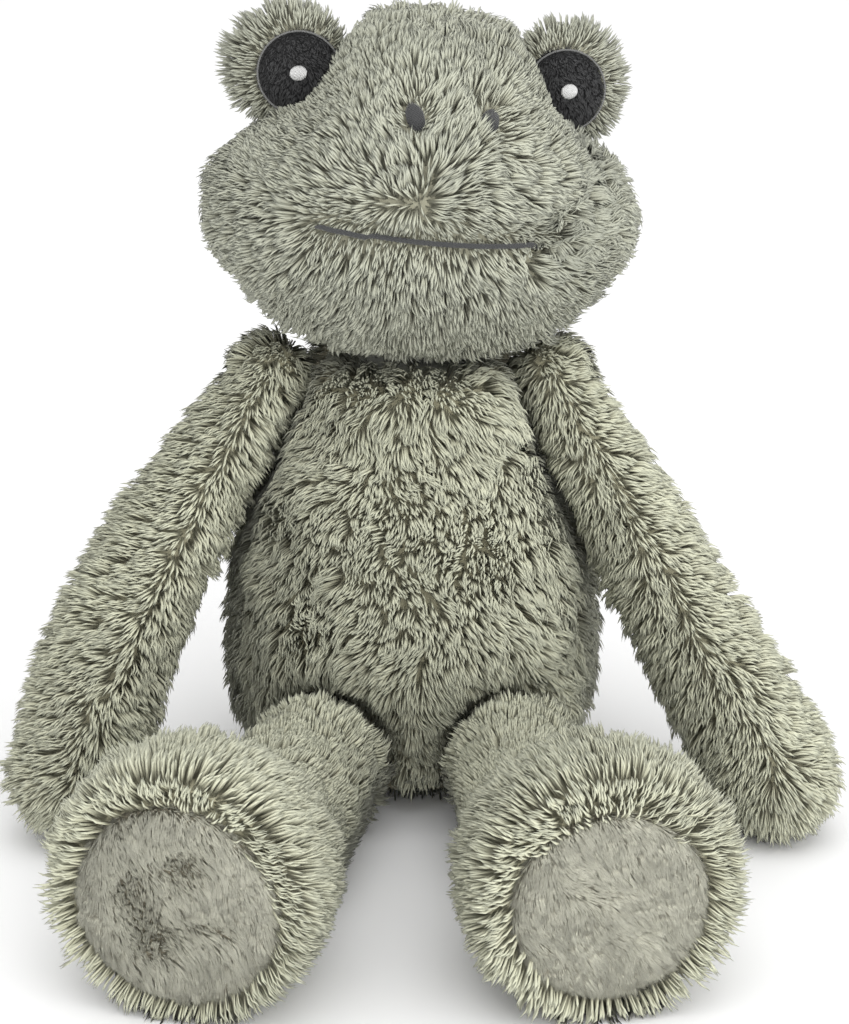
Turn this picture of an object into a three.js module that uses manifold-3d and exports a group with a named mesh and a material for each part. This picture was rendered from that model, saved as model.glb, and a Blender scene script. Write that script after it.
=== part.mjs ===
// A sitting plush frog: stuffed body, head, long arms, legs with round feet, all in fluffy pile fabric.
// Millimetres, Z up. The origin is the centre of the flat seat, and the frog looks along -Y.

import * as THREE from "three";
import Module from "manifold-3d";
import { mergeVertices } from "three/addons/utils/BufferGeometryUtils.js";

const wasm = await Module();
wasm.setup();

// Cloth and clearances
const skinThickness = 6; // backing cloth with its pile, pressed
const pressDepth = 0.5; // how deep a soft form is flattened where it rests
const seamGap = 0.3; // between two pieces that are sewn or packed together
const turnGap = 1.3; // between a limb's ball end and what it turns in
const cutOverrun = 300; // how far a cutting block reaches past what it cuts

// Facets round a ball or a socket: fine where it turns, coarse where it is only packed
const fineAround = 14;
const coarseAround = 10;

// Body
const torsoHeight = 155;
const torsoHalfWidth = 57;
const torsoHalfDepth = 57;
const seatSeamHeight = 14;
const sideSeamForward = 24;
const pelletBagTop = 24;
const torsoAround = 14;
// Each row: height, half width, half depth and forward shift
const torsoOutlineShares = [
  [0, 0.785, 0.69, 0.035],
  [0.042, 0.88, 0.81, 0.05],
  [0.13, 0.966, 0.93, 0.07],
  [0.24, 1, 0.98, 0.095],
  [0.356, 0.99, 1, 0.115],
  [0.485, 0.95, 0.93, 0.105],
  [0.613, 0.88, 0.825, 0.09],
  [0.742, 0.785, 0.7, 0.07],
  [0.85, 0.67, 0.64, 0.07],
  [0.945, 0.48, 0.5, 0.09],
];

// Neck
const neckDrop = 20.5; // from the body's full height to the top of the gathered disc
const neckDiscRadius = 20;
const neckDiscThickness = 5;
const neckForward = 8;
const neckBallRadius = 25;
const neckSlack = 1.6; // between the head's underside and the shoulders below it
const nodReach = THREE.MathUtils.degToRad(13);
const neckTopHeight = torsoHeight - neckDrop;

// Head
const headHalfWidth = 66;
const headHalfHeight = 51.5;
const headHalfDepth = 48;
const headLift = 2; // the head's own bottom lies this far above the neck ball's
const headForward = 10;
const headSideways = 4;
const headRoll = THREE.MathUtils.degToRad(5.5);
const headYaw = THREE.MathUtils.degToRad(8);
const headSeamBack = 5;
const mouthDrop = 6.6;
const mouthHalfLength = 30.6;
const mouthSideways = -3.4;
const mouthThreadWidth = 2.2;
const threadDepth = 2;
const headAround = 18;
// Each row: height, half width, half depth and forward shift
const headOutlineShares = [
  [0.96, 0.28, 0.35, 0.01],
  [0.8, 0.46, 0.6, 0.04],
  [0.56, 0.585, 0.79, 0.07],
  [0.29, 0.81, 0.93, 0.07],
  [0.045, 0.955, 0.99, 0.05],
  [-0.2, 1, 1, 0.04],
  [-0.445, 0.94, 0.955, 0.03],
  [-0.65, 0.78, 0.82, 0.02],
  [-0.8, 0.64, 0.65, 0.01],
  [-0.917, 0.41, 0.42, 0],
];
const headRoomShares = [0.16, 0.31, 0.47, 0.63, 0.78, 0.94]; // places along the head's half width

// Nostrils
const nostrilHalfSpacing = 10.6;
const nostrilHeight = 26.5;
const nostrilHalfWidth = 2.2;
const nostrilHalfHeight = 4.2;

// Eyes
const eyeHalfWidth = 19.5;
const eyeHalfDepth = 14;
const eyePlaceShares = { side: 0.615, back: 0.27, up: 0.565 };
const eyeOutwardTurn = THREE.MathUtils.degToRad(12);
const eyeUpwardTilt = THREE.MathUtils.degToRad(8);
const eyePatchRadius = 12;
const eyePatchThickness = 4;
const eyePatchInward = 3;
const eyePatchDrop = 1.2;
const eyeGlintRadius = 2.4;
const eyeGlintThickness = 1.2;
const eyeAround = 14;

// Arms
const armRootRadius = 15;
const handRadius = 20.5;
const shoulderDrop = 7.2; // from the gathered disc's top to the shoulder's pivot
const shoulderForward = 6;
const shoulderSideShare = 0.75;
const shoulderSeating = 8.5; // how far inside the shoulder's pivot the body's side is pressed flat
const armRoomRiseShare = 0.57; // how fast the body's side leaves the arm, going down
const armRoomStartShare = 1.25;
const armRoomEndShare = 3.9;
const armAround = 12;
// Each row: place along the arm, and radius between root and hand
const armSwellShares = [
  [0.07, -0.1],
  [0.28, 0.15],
  [0.52, 0.62],
  [0.78, 1],
  [1, 1],
];
const arms = {
  left: { side: -1, handOut: 100.5, handForward: 61, bow: 7 },
  right: { side: 1, handOut: 108.5, handForward: 61, bow: 0.5 },
};
const bowPlaceShares = [0.22, 0.66];
const bowSizeShares = [0.75, 1];

// Legs and feet
const legRadius = 22.5;
const footRadius = 36.5;
const soleRadius = 27.5;
const soleDrop = 2; // how far the pad sits below the middle of the foot
const soleThickness = 4;
const soleCrown = 1.2;
const hipForward = 60;
const soleForward = 177;
const ankleShare = 0.6;
const legAround = 12;
// Each row: place along the leg, radius and rise of the centre, from leg to foot
const legSwellShares = [
  [0.07, -0.05, 0],
  [0.3, 0.08, 0.05],
  [0.5, 0.24, 0.25],
  [0.61, 0.45, 0.5],
  [0.7, 0.8, 0.85],
  [0.8, 0.98, 1],
  [0.92, 1, 1],
  [0.98, 0.84, 1],
];
const legs = {
  left: { side: -1, hipOut: 27.5, soleOut: 62.5 },
  right: { side: 1, hipOut: 31, soleOut: 53 },
};

// Colours
const pileMaterial = clothMaterial(0x9c9e88);
const backPileMaterial = clothMaterial(0x8f917b);
const soleMaterial = clothMaterial(0xaaa994);
const eyePatchMaterial = clothMaterial(0x3f3f3e);
const threadMaterial = clothMaterial(0x4d4f4b);
const glintMaterial = clothMaterial(0xd6d6d4);
const fillMaterial = clothMaterial(0xece9e0);
const pelletMaterial = clothMaterial(0xd8cfc0);

function clothMaterial(color) {
  return new THREE.MeshStandardMaterial({ color, roughness: 0.95, metalness: 0 });
}

// Solids

// A closed geometry as a solid, with its shared corners welded and its faces turned outwards.
function solidOf(geometry) {
  const bare = geometry.index ? geometry.toNonIndexed() : geometry.clone();
  bare.deleteAttribute("normal");
  bare.deleteAttribute("uv");
  const welded = mergeVertices(bare);
  const corners = welded.index.array;
  const kept = [];
  for (let i = 0; i < corners.length; i += 3) {
    const [a, b, c] = [corners[i], corners[i + 1], corners[i + 2]];
    if (a !== b && b !== c && c !== a) kept.push(a, b, c);
  }
  const vertProperties = welded.attributes.position.array;
  const made = manifoldOf(vertProperties, kept);
  return made.volume() < 0 ? manifoldOf(vertProperties, kept.reverse()) : made;
}

function manifoldOf(vertProperties, corners) {
  const triVerts = new Uint32Array(corners);
  return new wasm.Manifold(new wasm.Mesh({ numProp: 3, vertProperties, triVerts }));
}

function meshOf(name, solid, material) {
  const made = solid.getMesh();
  const places = new THREE.BufferAttribute(made.vertProperties, made.numProp);
  const geometry = new THREE.BufferGeometry();
  geometry.setAttribute("position", places);
  geometry.setIndex(new THREE.BufferAttribute(made.triVerts, 1));
  const mesh = new THREE.Mesh(geometry, material);
  mesh.name = name;
  return mesh;
}

// A closed skin over rings of points, with a pole at each end.
function loft(rings, firstPole, lastPole) {
  const around = rings[0].length;
  const places = [firstPole, ...rings.flat(), lastPole].flatMap((p) => [p.x, p.y, p.z]);
  const lastIndex = rings.length * around + 1;
  const corners = [];
  for (let j = 0; j < around; j++) {
    const k = (j + 1) % around;
    corners.push(0, 1 + k, 1 + j);
    for (let i = 0; i + 1 < rings.length; i++) {
      const [near, far] = [1 + i * around, 1 + (i + 1) * around];
      corners.push(near + j, near + k, far + k, near + j, far + k, far + j);
    }
    const last = 1 + (rings.length - 1) * around;
    corners.push(lastIndex, last + j, last + k);
  }
  const geometry = new THREE.BufferGeometry();
  geometry.setAttribute("position", new THREE.Float32BufferAttribute(places, 3));
  geometry.setIndex(corners);
  return outward(geometry);
}

// The same geometry with its faces turned outwards.
function outward(geometry) {
  const place = geometry.attributes.position;
  const corners = geometry.index.array;
  const [a, b, c] = [new THREE.Vector3(), new THREE.Vector3(), new THREE.Vector3()];
  let volume = 0;
  for (let i = 0; i < corners.length; i += 3) {
    a.fromBufferAttribute(place, corners[i]);
    b.fromBufferAttribute(place, corners[i + 1]);
    c.fromBufferAttribute(place, corners[i + 2]);
    volume += a.dot(b.cross(c));
  }
  if (volume < 0) geometry.setIndex([...corners].reverse());
  return geometry;
}

// A form drawn in by a thickness all over, or let out by a negative one.
function drawnIn(geometry, thickness) {
  const copy = geometry.clone();
  copy.computeVertexNormals();
  const place = copy.attributes.position;
  const normal = copy.attributes.normal;
  for (let i = 0; i < place.count; i++) {
    place.setXYZ(
      i,
      place.getX(i) - normal.getX(i) * thickness,
      place.getY(i) - normal.getY(i) * thickness,
      place.getZ(i) - normal.getZ(i) * thickness,
    );
  }
  return solidOf(copy);
}

function ball(centre, radius, around) {
  const geometry = new THREE.SphereGeometry(radius, around, around / 2);
  return solidOf(geometry.translate(centre.x, centre.y, centre.z));
}

// A block between two corners; a bound left out lies far outside the toy.
function block({ x = [], y = [], z = [] }) {
  const spans = [x, y, z].map(([low = -cutOverrun, high = cutOverrun]) => [low, high]);
  const size = spans.map(([low, high]) => high - low);
  const centre = spans.map(([low, high]) => (low + high) / 2);
  return solidOf(new THREE.BoxGeometry(...size).translate(...centre));
}

// A solid turned from a closed profile of radius and height points, standing on an axis.
function turned(profile, centre, axis, around) {
  const points = profile.map(([radius, height]) => new THREE.Vector2(radius, height));
  const geometry = new THREE.LatheGeometry(points, around);
  const up = new THREE.Vector3(0, 1, 0);
  geometry.applyQuaternion(new THREE.Quaternion().setFromUnitVectors(up, axis));
  return solidOf(geometry.translate(centre.x, centre.y, centre.z));
}

// Rings of an upright form, from rows of height, half width, half depth and forward shift.
function uprightForm({ rows, around, bottom, height, halfWidth, halfDepth, ends }) {
  const rings = rows.map(([up, wide, deep, forward]) => {
    const ring = [];
    for (let j = 0; j < around; j++) {
      const turn = (2 * Math.PI * j) / around;
      ring.push(
        new THREE.Vector3(
          Math.cos(turn) * wide * halfWidth,
          Math.sin(turn) * deep * halfDepth - forward * halfDepth,
          bottom + up * height,
        ),
      );
    }
    return ring;
  });
  const pole = (row, up) => new THREE.Vector3(0, -row[3] * halfDepth, bottom + up * height);
  return loft(rings, pole(rows[0], ends[0]), pole(rows[rows.length - 1], ends[1]));
}

// Rings of a limb along its path, from stations of distance and radius.
function limbForm({ path, stations, around, across }) {
  const length = path.getLength();
  const rings = stations.map(({ along, radius, lift }) => {
    const { centre, ahead } = placeOn(path, length, along, lift);
    const side = new THREE.Vector3().crossVectors(ahead, across).normalize();
    const rise = new THREE.Vector3().crossVectors(side, ahead).normalize();
    const ring = [];
    for (let j = 0; j < around; j++) {
      const turn = (2 * Math.PI * j) / around;
      const point = centre.clone().addScaledVector(side, radius * Math.cos(turn));
      ring.push(point.addScaledVector(rise, radius * Math.sin(turn)));
    }
    return ring;
  });
  const tips = [stations.first, stations.last];
  const [first, last] = tips.map(({ along, lift }) => placeOn(path, length, along, lift).centre);
  return loft(rings, first, last);
}

// A place along a path, straight on past its ends, lifted by a height.
function placeOn(path, length, along, lift = 0) {
  const share = THREE.MathUtils.clamp(along / length, 0, 1);
  const ahead = path.getTangentAt(share);
  const centre = path.getPointAt(share).addScaledVector(ahead, along - share * length);
  centre.z += lift;
  return { centre, ahead };
}

const capTurns = [60, 30].map(THREE.MathUtils.degToRad);

// Stations of a limb's round root, from its back pole to just before its widest ring.
function rootStations(radius) {
  return capTurns.map((turn) => ({
    along: -radius * Math.sin(turn),
    radius: radius * Math.cos(turn),
  }));
}

// Torso

const torsoForm = uprightForm({
  rows: torsoOutlineShares,
  around: torsoAround,
  bottom: -pressDepth,
  height: torsoHeight,
  halfWidth: torsoHalfWidth,
  halfDepth: torsoHalfDepth,
  ends: [0, 1],
});

const floorBlock = (inset) => block({ z: [undefined, inset] });
const xAxis = new THREE.Vector3(1, 0, 0);
const zAxis = new THREE.Vector3(0, 0, 1);

const neckCentre = new THREE.Vector3(
  0,
  -neckForward,
  neckTopHeight + seamGap + neckBallRadius,
);
const headCentre = new THREE.Vector3(
  headSideways,
  -headForward,
  neckTopHeight + seamGap + headLift + headHalfHeight,
);

// The room that the head sweeps as it turns and nods, above the shoulders.
function headRoom(inset) {
  const profile = [];
  for (const share of headRoomShares) {
    const reach = headHalfWidth * share;
    const wide = Math.sqrt(1 - share ** 2);
    const deep = Math.sqrt(Math.max(0, 1 - (reach / headHalfDepth) ** 2));
    const underSide = headCentre.z - headHalfHeight * wide - reach * Math.sin(headRoll);
    const underFront = headCentre.z - headHalfHeight * deep - reach * Math.sin(nodReach);
    profile.push([reach, Math.min(underSide, underFront) - neckSlack - inset]);
  }
  const top = headCentre.z + cutOverrun;
  const ends = [[0, profile[0][1]], ...profile, [headHalfWidth, top], [0, top]];
  const foot = new THREE.Vector3(0, -neckForward, 0);
  return turned(ends, foot, zAxis, torsoAround);
}

const neckDiscBottom = neckTopHeight - neckDiscThickness;

function neckRecess(inset) {
  const radius = neckDiscRadius + turnGap + inset;
  const low = neckDiscBottom - seamGap - inset;
  const foot = new THREE.Vector3(0, -neckForward, 0);
  const profile = [
    [0, low],
    [radius, low],
    [radius, low + cutOverrun],
    [0, low + cutOverrun],
  ];
  return turned(profile, foot, zAxis, torsoAround);
}

const shoulderOut = torsoHalfWidth * shoulderSideShare;
const shoulderFace = shoulderOut - shoulderSeating;
const shoulderHeight = neckTopHeight - shoulderDrop;

function shoulderCentre(side) {
  return new THREE.Vector3(side * shoulderOut, -shoulderForward, shoulderHeight);
}

// The cone round a shoulder's swing axis that parts body and arm: the space on one side of it.
function besideShoulder(side, shift, reach) {
  const start = armRootRadius * armRoomStartShare;
  const end = armRootRadius * armRoomEndShare;
  const near = shoulderFace + shift;
  const far = near + (end - start) * armRoomRiseShare;
  const profile = [
    [0, near],
    [start, near],
    [end, far],
    [end, far + reach],
    [0, far + reach],
  ];
  const foot = new THREE.Vector3(0, -shoulderForward, shoulderHeight);
  return turned(profile, foot, xAxis.clone().multiplyScalar(side), fineAround);
}

// The room beside the body that an arm sweeps as it swings.
function armRoom(side, inset) {
  return besideShoulder(side, -inset, cutOverrun);
}

const hipHeight = legRadius - pressDepth;

function hipCentre({ side, hipOut }) {
  return new THREE.Vector3(side * hipOut, -hipForward, hipHeight);
}

// The room below a hip that its leg needs when it hangs down.
function legRoom(leg, inset) {
  const radius = legRadius + turnGap + inset;
  const profile = [
    [0, 0],
    [radius, 0],
    [radius, cutOverrun],
    [0, cutOverrun],
  ];
  const down = zAxis.clone().multiplyScalar(-1);
  return turned(profile, hipCentre(leg), down, torsoAround);
}

// The whole body, drawn in by a thickness, with its flat seat and the sockets of head and limbs.
function torsoSolid(inset) {
  const around = inset > 0 ? coarseAround : fineAround;
  let solid = drawnIn(torsoForm, inset)
    .subtract(floorBlock(inset))
    .subtract(headRoom(inset))
    .subtract(neckRecess(inset));
  for (const { side } of Object.values(arms)) {
    const socket = ball(shoulderCentre(side), armRootRadius + turnGap + inset, around);
    solid = solid.subtract(armRoom(side, inset)).subtract(socket);
  }
  for (const leg of Object.values(legs)) {
    const socket = ball(hipCentre(leg), legRadius + turnGap + inset, around);
    solid = solid.subtract(legRoom(leg, inset)).subtract(socket);
  }
  return solid;
}

function torsoMeshes() {
  const skin = torsoSolid(0).subtract(torsoSolid(skinThickness));
  const fill = torsoSolid(skinThickness + seamGap);
  const half = seamGap / 2;
  const above = [seatSeamHeight + half, undefined];
  const behind = [half - sideSeamForward, undefined];
  const cut = (solid, bounds) => solid.intersect(block(bounds));
  const front = { y: [undefined, -half - sideSeamForward], z: above };
  const backLeft = { x: [undefined, -half], y: behind, z: above };
  const backRight = { x: [half, undefined], y: behind, z: above };
  return [
    meshOf("belly_panel", cut(skin, front), pileMaterial),
    meshOf("back_panel_left", cut(skin, backLeft), backPileMaterial),
    meshOf("back_panel_right", cut(skin, backRight), backPileMaterial),
    meshOf("seat_panel", cut(skin, { z: [undefined, seatSeamHeight - half] }), backPileMaterial),
    meshOf("body_stuffing", cut(fill, { z: [pelletBagTop + half, undefined] }), fillMaterial),
    meshOf("pellet_bag", cut(fill, { z: [undefined, pelletBagTop - half] }), pelletMaterial),
  ];
}

// The gathered disc where the head is sewn to the body, on which the head turns.
function neckMesh() {
  const profile = [
    [0, neckDiscBottom],
    [neckDiscRadius, neckDiscBottom],
    [neckDiscRadius, neckTopHeight],
    [0, neckTopHeight],
  ];
  const foot = new THREE.Vector3(0, -neckForward, 0);
  return meshOf("neck_seam", turned(profile, foot, zAxis, torsoAround), backPileMaterial);
}

// Head, in its own frame: its centre at the origin, facing -Y

const headForm = uprightForm({
  rows: headOutlineShares,
  around: headAround,
  bottom: 0,
  height: headHalfHeight,
  halfWidth: headHalfWidth,
  halfDepth: headHalfDepth,
  ends: [1, -1],
});

const headTurn = new THREE.Euler(0, headRoll, headYaw, "ZYX");

function headSolid(inset) {
  const back = new THREE.Quaternion().setFromEuler(headTurn).invert();
  const neckInHead = neckCentre.clone().sub(headCentre).applyQuaternion(back);
  return drawnIn(headForm, inset).add(ball(neckInHead, neckBallRadius - inset, coarseAround));
}

// The zone of the mouth's thread in the face, with a clearance round it and behind it.
function mouthZone(clearance) {
  const halfWidth = mouthThreadWidth / 2 + clearance;
  const halfLength = mouthHalfLength + clearance;
  const outer = drawnIn(headForm, -skinThickness);
  const inner = drawnIn(headForm, threadDepth + clearance);
  const band = block({
    x: [mouthSideways - halfLength, mouthSideways + halfLength],
    y: [undefined, 0],
    z: [-mouthDrop - halfWidth, -mouthDrop + halfWidth],
  });
  return outer.subtract(inner).intersect(band);
}

function nostrilZone(side, clearance) {
  const geometry = new THREE.CylinderGeometry(1, 1, headHalfDepth, coarseAround);
  geometry.scale(nostrilHalfWidth + clearance, 1, nostrilHalfHeight + clearance);
  geometry.translate(side * nostrilHalfSpacing, -headHalfDepth / 2, nostrilHeight);
  return solidOf(geometry).subtract(drawnIn(headForm, threadDepth + clearance));
}

function eyePlacement(side) {
  const turn = new THREE.Euler(-eyeUpwardTilt, 0, side * eyeOutwardTurn, "ZYX");
  const place = new THREE.Vector3(
    side * headHalfWidth * eyePlaceShares.side,
    headHalfDepth * eyePlaceShares.back,
    headHalfHeight * eyePlaceShares.up,
  );
  const one = new THREE.Vector3(1, 1, 1);
  return new THREE.Matrix4().compose(place, new THREE.Quaternion().setFromEuler(turn), one);
}

// The front of an eye out to a radius, from a depth behind its foremost point.
function eyeFront(side, radius, depth) {
  const geometry = new THREE.CylinderGeometry(radius, radius, eyeHalfDepth, coarseAround);
  const middle = depth - eyeHalfDepth - eyeHalfDepth / 2;
  geometry.translate(-side * eyePatchInward, middle, -eyePatchDrop);
  return solidOf(geometry.applyMatrix4(eyePlacement(side)));
}

function eyeMeshes(name, side) {
  const geometry = new THREE.SphereGeometry(1, eyeAround, eyeAround / 2).rotateX(Math.PI / 2);
  geometry.scale(eyeHalfWidth, eyeHalfDepth, eyeHalfWidth);
  const form = solidOf(geometry.applyMatrix4(eyePlacement(side)));
  const mound = form.subtract(drawnIn(headForm, -seamGap));
  const patchFront = eyeFront(side, eyePatchRadius, eyePatchThickness);
  const patchRecess = eyeFront(side, eyePatchRadius + seamGap, eyePatchThickness + seamGap);
  const glintFront = eyeFront(side, eyeGlintRadius, eyeGlintThickness);
  const glintRecess = eyeFront(side, eyeGlintRadius + seamGap, eyeGlintThickness + seamGap);
  const patch = mound.intersect(patchFront);
  return [
    meshOf("eye_mound_" + name, mound.subtract(patchRecess), pileMaterial),
    meshOf("eye_patch_" + name, patch.subtract(glintRecess), eyePatchMaterial),
    meshOf("eye_glint_" + name, patch.intersect(glintFront), glintMaterial),
  ];
}

function headMeshes() {
  const half = seamGap / 2;
  const outer = headSolid(0);
  let skin = outer.subtract(headSolid(skinThickness)).subtract(mouthZone(seamGap));
  const nostrils = [];
  for (const [name, { side }] of Object.entries(arms)) {
    skin = skin.subtract(nostrilZone(side, seamGap));
    const nostril = outer.intersect(nostrilZone(side, 0));
    nostrils.push(meshOf("nostril_" + name, nostril, threadMaterial));
  }
  const front = [undefined, headSeamBack - half];
  const behind = [headSeamBack + half, undefined];
  const cut = (bounds) => skin.intersect(block(bounds));
  const overMouth = cut({ y: front, z: [half - mouthDrop, undefined] });
  const underMouth = cut({ y: front, z: [undefined, -half - mouthDrop] });
  return [
    meshOf("face_panel", overMouth, pileMaterial),
    meshOf("chin_panel", underMouth, pileMaterial),
    meshOf("head_back_left", cut({ x: [undefined, -half], y: behind }), backPileMaterial),
    meshOf("head_back_right", cut({ x: [half, undefined], y: behind }), backPileMaterial),
    meshOf("head_stuffing", headSolid(skinThickness + seamGap), fillMaterial),
    meshOf("mouth_thread", outer.intersect(mouthZone(0)), threadMaterial),
    ...nostrils,
    ...eyeMeshes("left", arms.left.side),
    ...eyeMeshes("right", arms.right.side),
  ];
}

function headGroup() {
  const group = new THREE.Group();
  group.rotation.copy(headTurn);
  group.position.copy(headCentre);
  group.add(...headMeshes());
  return group;
}

// Arms

function armPath({ side, handOut, handForward, bow }) {
  const shoulder = shoulderCentre(side);
  const hand = new THREE.Vector3(side * handOut, -handForward, handRadius - pressDepth);
  const between = bowPlaceShares.map((share, i) => {
    const point = shoulder.clone().lerp(hand, share);
    point.x += side * bow * bowSizeShares[i];
    return point;
  });
  return new THREE.CatmullRomCurve3([shoulder, ...between, hand]);
}

function armForm(arm) {
  const path = armPath(arm);
  const length = path.getLength();
  const swell = armSwellShares.map(([along, share]) => ({
    along: along * length,
    radius: armRootRadius + share * (handRadius - armRootRadius),
  }));
  const tip = [...capTurns].reverse().map((turn) => ({
    along: length + handRadius * Math.sin(turn),
    radius: handRadius * Math.cos(turn),
  }));
  const widest = { along: 0, radius: armRootRadius };
  const stations = [...rootStations(armRootRadius), widest, ...swell, ...tip];
  stations.first = { along: -armRootRadius };
  stations.last = { along: length + handRadius };
  return limbForm({ path, stations, around: armAround, across: xAxis });
}

// An arm drawn in by a thickness, flat on the floor and where it lies against the body.
function armSolid(arm, form, inset) {
  const root = ball(shoulderCentre(arm.side), armRootRadius + turnGap / 2 - inset, fineAround);
  const pressed = besideShoulder(arm.side, turnGap + inset, -cutOverrun).subtract(root);
  return drawnIn(form, inset).subtract(pressed).subtract(floorBlock(inset));
}

function armMeshes(name, arm) {
  const form = armForm(arm);
  const half = seamGap / 2;
  const skin = armSolid(arm, form, 0).subtract(armSolid(arm, form, skinThickness));
  const hollow = ball(shoulderCentre(arm.side), armRootRadius - skinThickness + turnGap, fineAround);
  const fill = armSolid(arm, form, skinThickness + seamGap).subtract(hollow);
  const wadRadius = armRootRadius - skinThickness - turnGap;
  const wad = ball(shoulderCentre(arm.side), wadRadius, coarseAround);
  const seam = armSeamBlock(arm, half);
  const backSeam = armSeamBlock(arm, -half);
  return [
    meshOf("arm_outer_panel_" + name, skin.intersect(seam), pileMaterial),
    meshOf("arm_inner_panel_" + name, skin.subtract(backSeam), pileMaterial),
    meshOf("arm_stuffing_" + name, fill, fillMaterial),
    meshOf("shoulder_wad_" + name, wad, fillMaterial),
  ];
}

// A block on the outer side of the plane that holds an arm's front and back seams.
function armSeamBlock(arm, shift) {
  const shoulder = shoulderCentre(arm.side);
  const hand = armPath(arm).getPointAt(1);
  const down = hand.sub(shoulder).normalize();
  const size = 2 * cutOverrun;
  const geometry = new THREE.BoxGeometry(size, size, size).translate(cutOverrun + shift, 0, 0);
  const out = new THREE.Vector3(arm.side, 0, 0);
  out.addScaledVector(down, -out.dot(down)).normalize();
  const frame = new THREE.Matrix4().makeBasis(
    out,
    new THREE.Vector3().crossVectors(down, out),
    down,
  );
  frame.setPosition(shoulder);
  return solidOf(geometry.applyMatrix4(frame));
}

// Legs

function legPath(leg) {
  const hip = hipCentre(leg);
  const sole = new THREE.Vector3(leg.side * leg.soleOut, -soleForward, hipHeight);
  return new THREE.LineCurve3(hip, sole);
}

function legForm(leg) {
  const path = legPath(leg);
  const length = path.getLength();
  const rise = footRadius - legRadius;
  const swell = legSwellShares.map(([along, share, lift]) => ({
    along: along * length,
    radius: legRadius + share * rise,
    lift: lift * rise,
  }));
  const widest = { along: 0, radius: legRadius };
  const sole = { along: length, radius: soleRadius, lift: rise };
  const stations = [...rootStations(legRadius), widest, ...swell, sole];
  stations.first = { along: -legRadius };
  stations.last = { along: length + soleCrown, lift: rise };
  return limbForm({ path, stations, around: legAround, across: zAxis });
}

// A frame at a place along a leg, its first axis pointing ahead.
function legFrame(leg, share, lift) {
  const path = legPath(leg);
  const length = path.getLength();
  const { centre, ahead } = placeOn(path, length, share * length, lift);
  const side = new THREE.Vector3().crossVectors(zAxis, ahead);
  return new THREE.Matrix4().makeBasis(ahead, side, zAxis).setPosition(centre);
}

// A block ahead of a plane square across a leg.
function blockAhead(leg, share, shift) {
  const size = 2 * cutOverrun;
  const geometry = new THREE.BoxGeometry(size, size, size).translate(cutOverrun + shift, 0, 0);
  return solidOf(geometry.applyMatrix4(legFrame(leg, share, 0)));
}

// The round zone of a sole pad, with a clearance round it and behind it.
function soleZone(leg, clearance) {
  const radius = soleRadius + clearance;
  const thickness = soleThickness + clearance;
  const long = thickness + footRadius;
  const geometry = new THREE.CylinderGeometry(radius, radius, long, legAround);
  geometry.rotateZ(Math.PI / 2).translate(long / 2 - thickness, 0, 0);
  return solidOf(geometry.applyMatrix4(legFrame(leg, 1, footRadius - legRadius - soleDrop)));
}

function legSolid(form, inset) {
  return drawnIn(form, inset).subtract(floorBlock(inset));
}

function legMeshes(name, leg) {
  const form = legForm(leg);
  const half = seamGap / 2;
  const whole = legSolid(form, 0);
  const skin = whole.subtract(legSolid(form, skinThickness));
  const hollow = ball(hipCentre(leg), legRadius - skinThickness + turnGap, fineAround);
  const fill = legSolid(form, skinThickness + seamGap).subtract(hollow);
  const wadRadius = legRadius - skinThickness - turnGap;
  const legSkin = skin.subtract(blockAhead(leg, ankleShare, -half));
  const footSkin = skin.intersect(blockAhead(leg, ankleShare, half));
  const sole = whole.intersect(soleZone(leg, 0)).subtract(legSolid(form, skinThickness));
  const upper = block({ z: [hipHeight + half, undefined] });
  const under = block({ z: [undefined, hipHeight - half] });
  return [
    meshOf("leg_upper_panel_" + name, legSkin.intersect(upper), pileMaterial),
    meshOf("leg_under_panel_" + name, legSkin.intersect(under), backPileMaterial),
    meshOf("leg_stuffing_" + name, fill.subtract(blockAhead(leg, ankleShare, -half)), fillMaterial),
    meshOf("hip_wad_" + name, ball(hipCentre(leg), wadRadius, coarseAround), fillMaterial),
    meshOf("foot_cover_" + name, footSkin.subtract(soleZone(leg, seamGap)), pileMaterial),
    meshOf("foot_stuffing_" + name, fill.intersect(blockAhead(leg, ankleShare, half)), fillMaterial),
    meshOf("sole_pad_" + name, sole, soleMaterial),
  ];
}

const frog = new THREE.Group();
frog.add(...torsoMeshes(), neckMesh(), headGroup());
for (const [name, arm] of Object.entries(arms)) {
  frog.add(...armMeshes(name, arm));
}
for (const [name, leg] of Object.entries(legs)) {
  frog.add(...legMeshes(name, leg));
}

export default frog;
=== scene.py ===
import math

import bmesh
import bpy
import numpy as np
from mathutils import Matrix, Vector
from mathutils.bvhtree import BVHTree


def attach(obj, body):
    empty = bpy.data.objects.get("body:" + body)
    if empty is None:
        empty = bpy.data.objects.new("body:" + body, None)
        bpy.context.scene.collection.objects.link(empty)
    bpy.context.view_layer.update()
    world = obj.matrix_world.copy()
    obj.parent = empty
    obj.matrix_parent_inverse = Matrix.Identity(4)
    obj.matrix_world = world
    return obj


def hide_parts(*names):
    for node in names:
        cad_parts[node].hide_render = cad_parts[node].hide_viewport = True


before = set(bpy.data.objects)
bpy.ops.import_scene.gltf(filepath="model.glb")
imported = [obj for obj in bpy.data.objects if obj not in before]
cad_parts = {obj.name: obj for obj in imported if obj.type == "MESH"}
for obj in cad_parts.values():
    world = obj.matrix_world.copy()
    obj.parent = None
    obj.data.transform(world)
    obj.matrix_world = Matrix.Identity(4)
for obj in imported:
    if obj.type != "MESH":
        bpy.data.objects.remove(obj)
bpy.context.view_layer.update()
MM = 0.001

# Studio
# A plain pale floor runs out of sight below the frog. Large soft panels light it from above, from the
# front and from the right, and the camera looks slightly down at it from the front.

CAMERA_TARGET = Vector((3.8, 0, 80.4)) * MM
CAMERA_DISTANCE = 900 * MM
CAMERA_DOWN = math.radians(20)
LENS = 101.25

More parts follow.
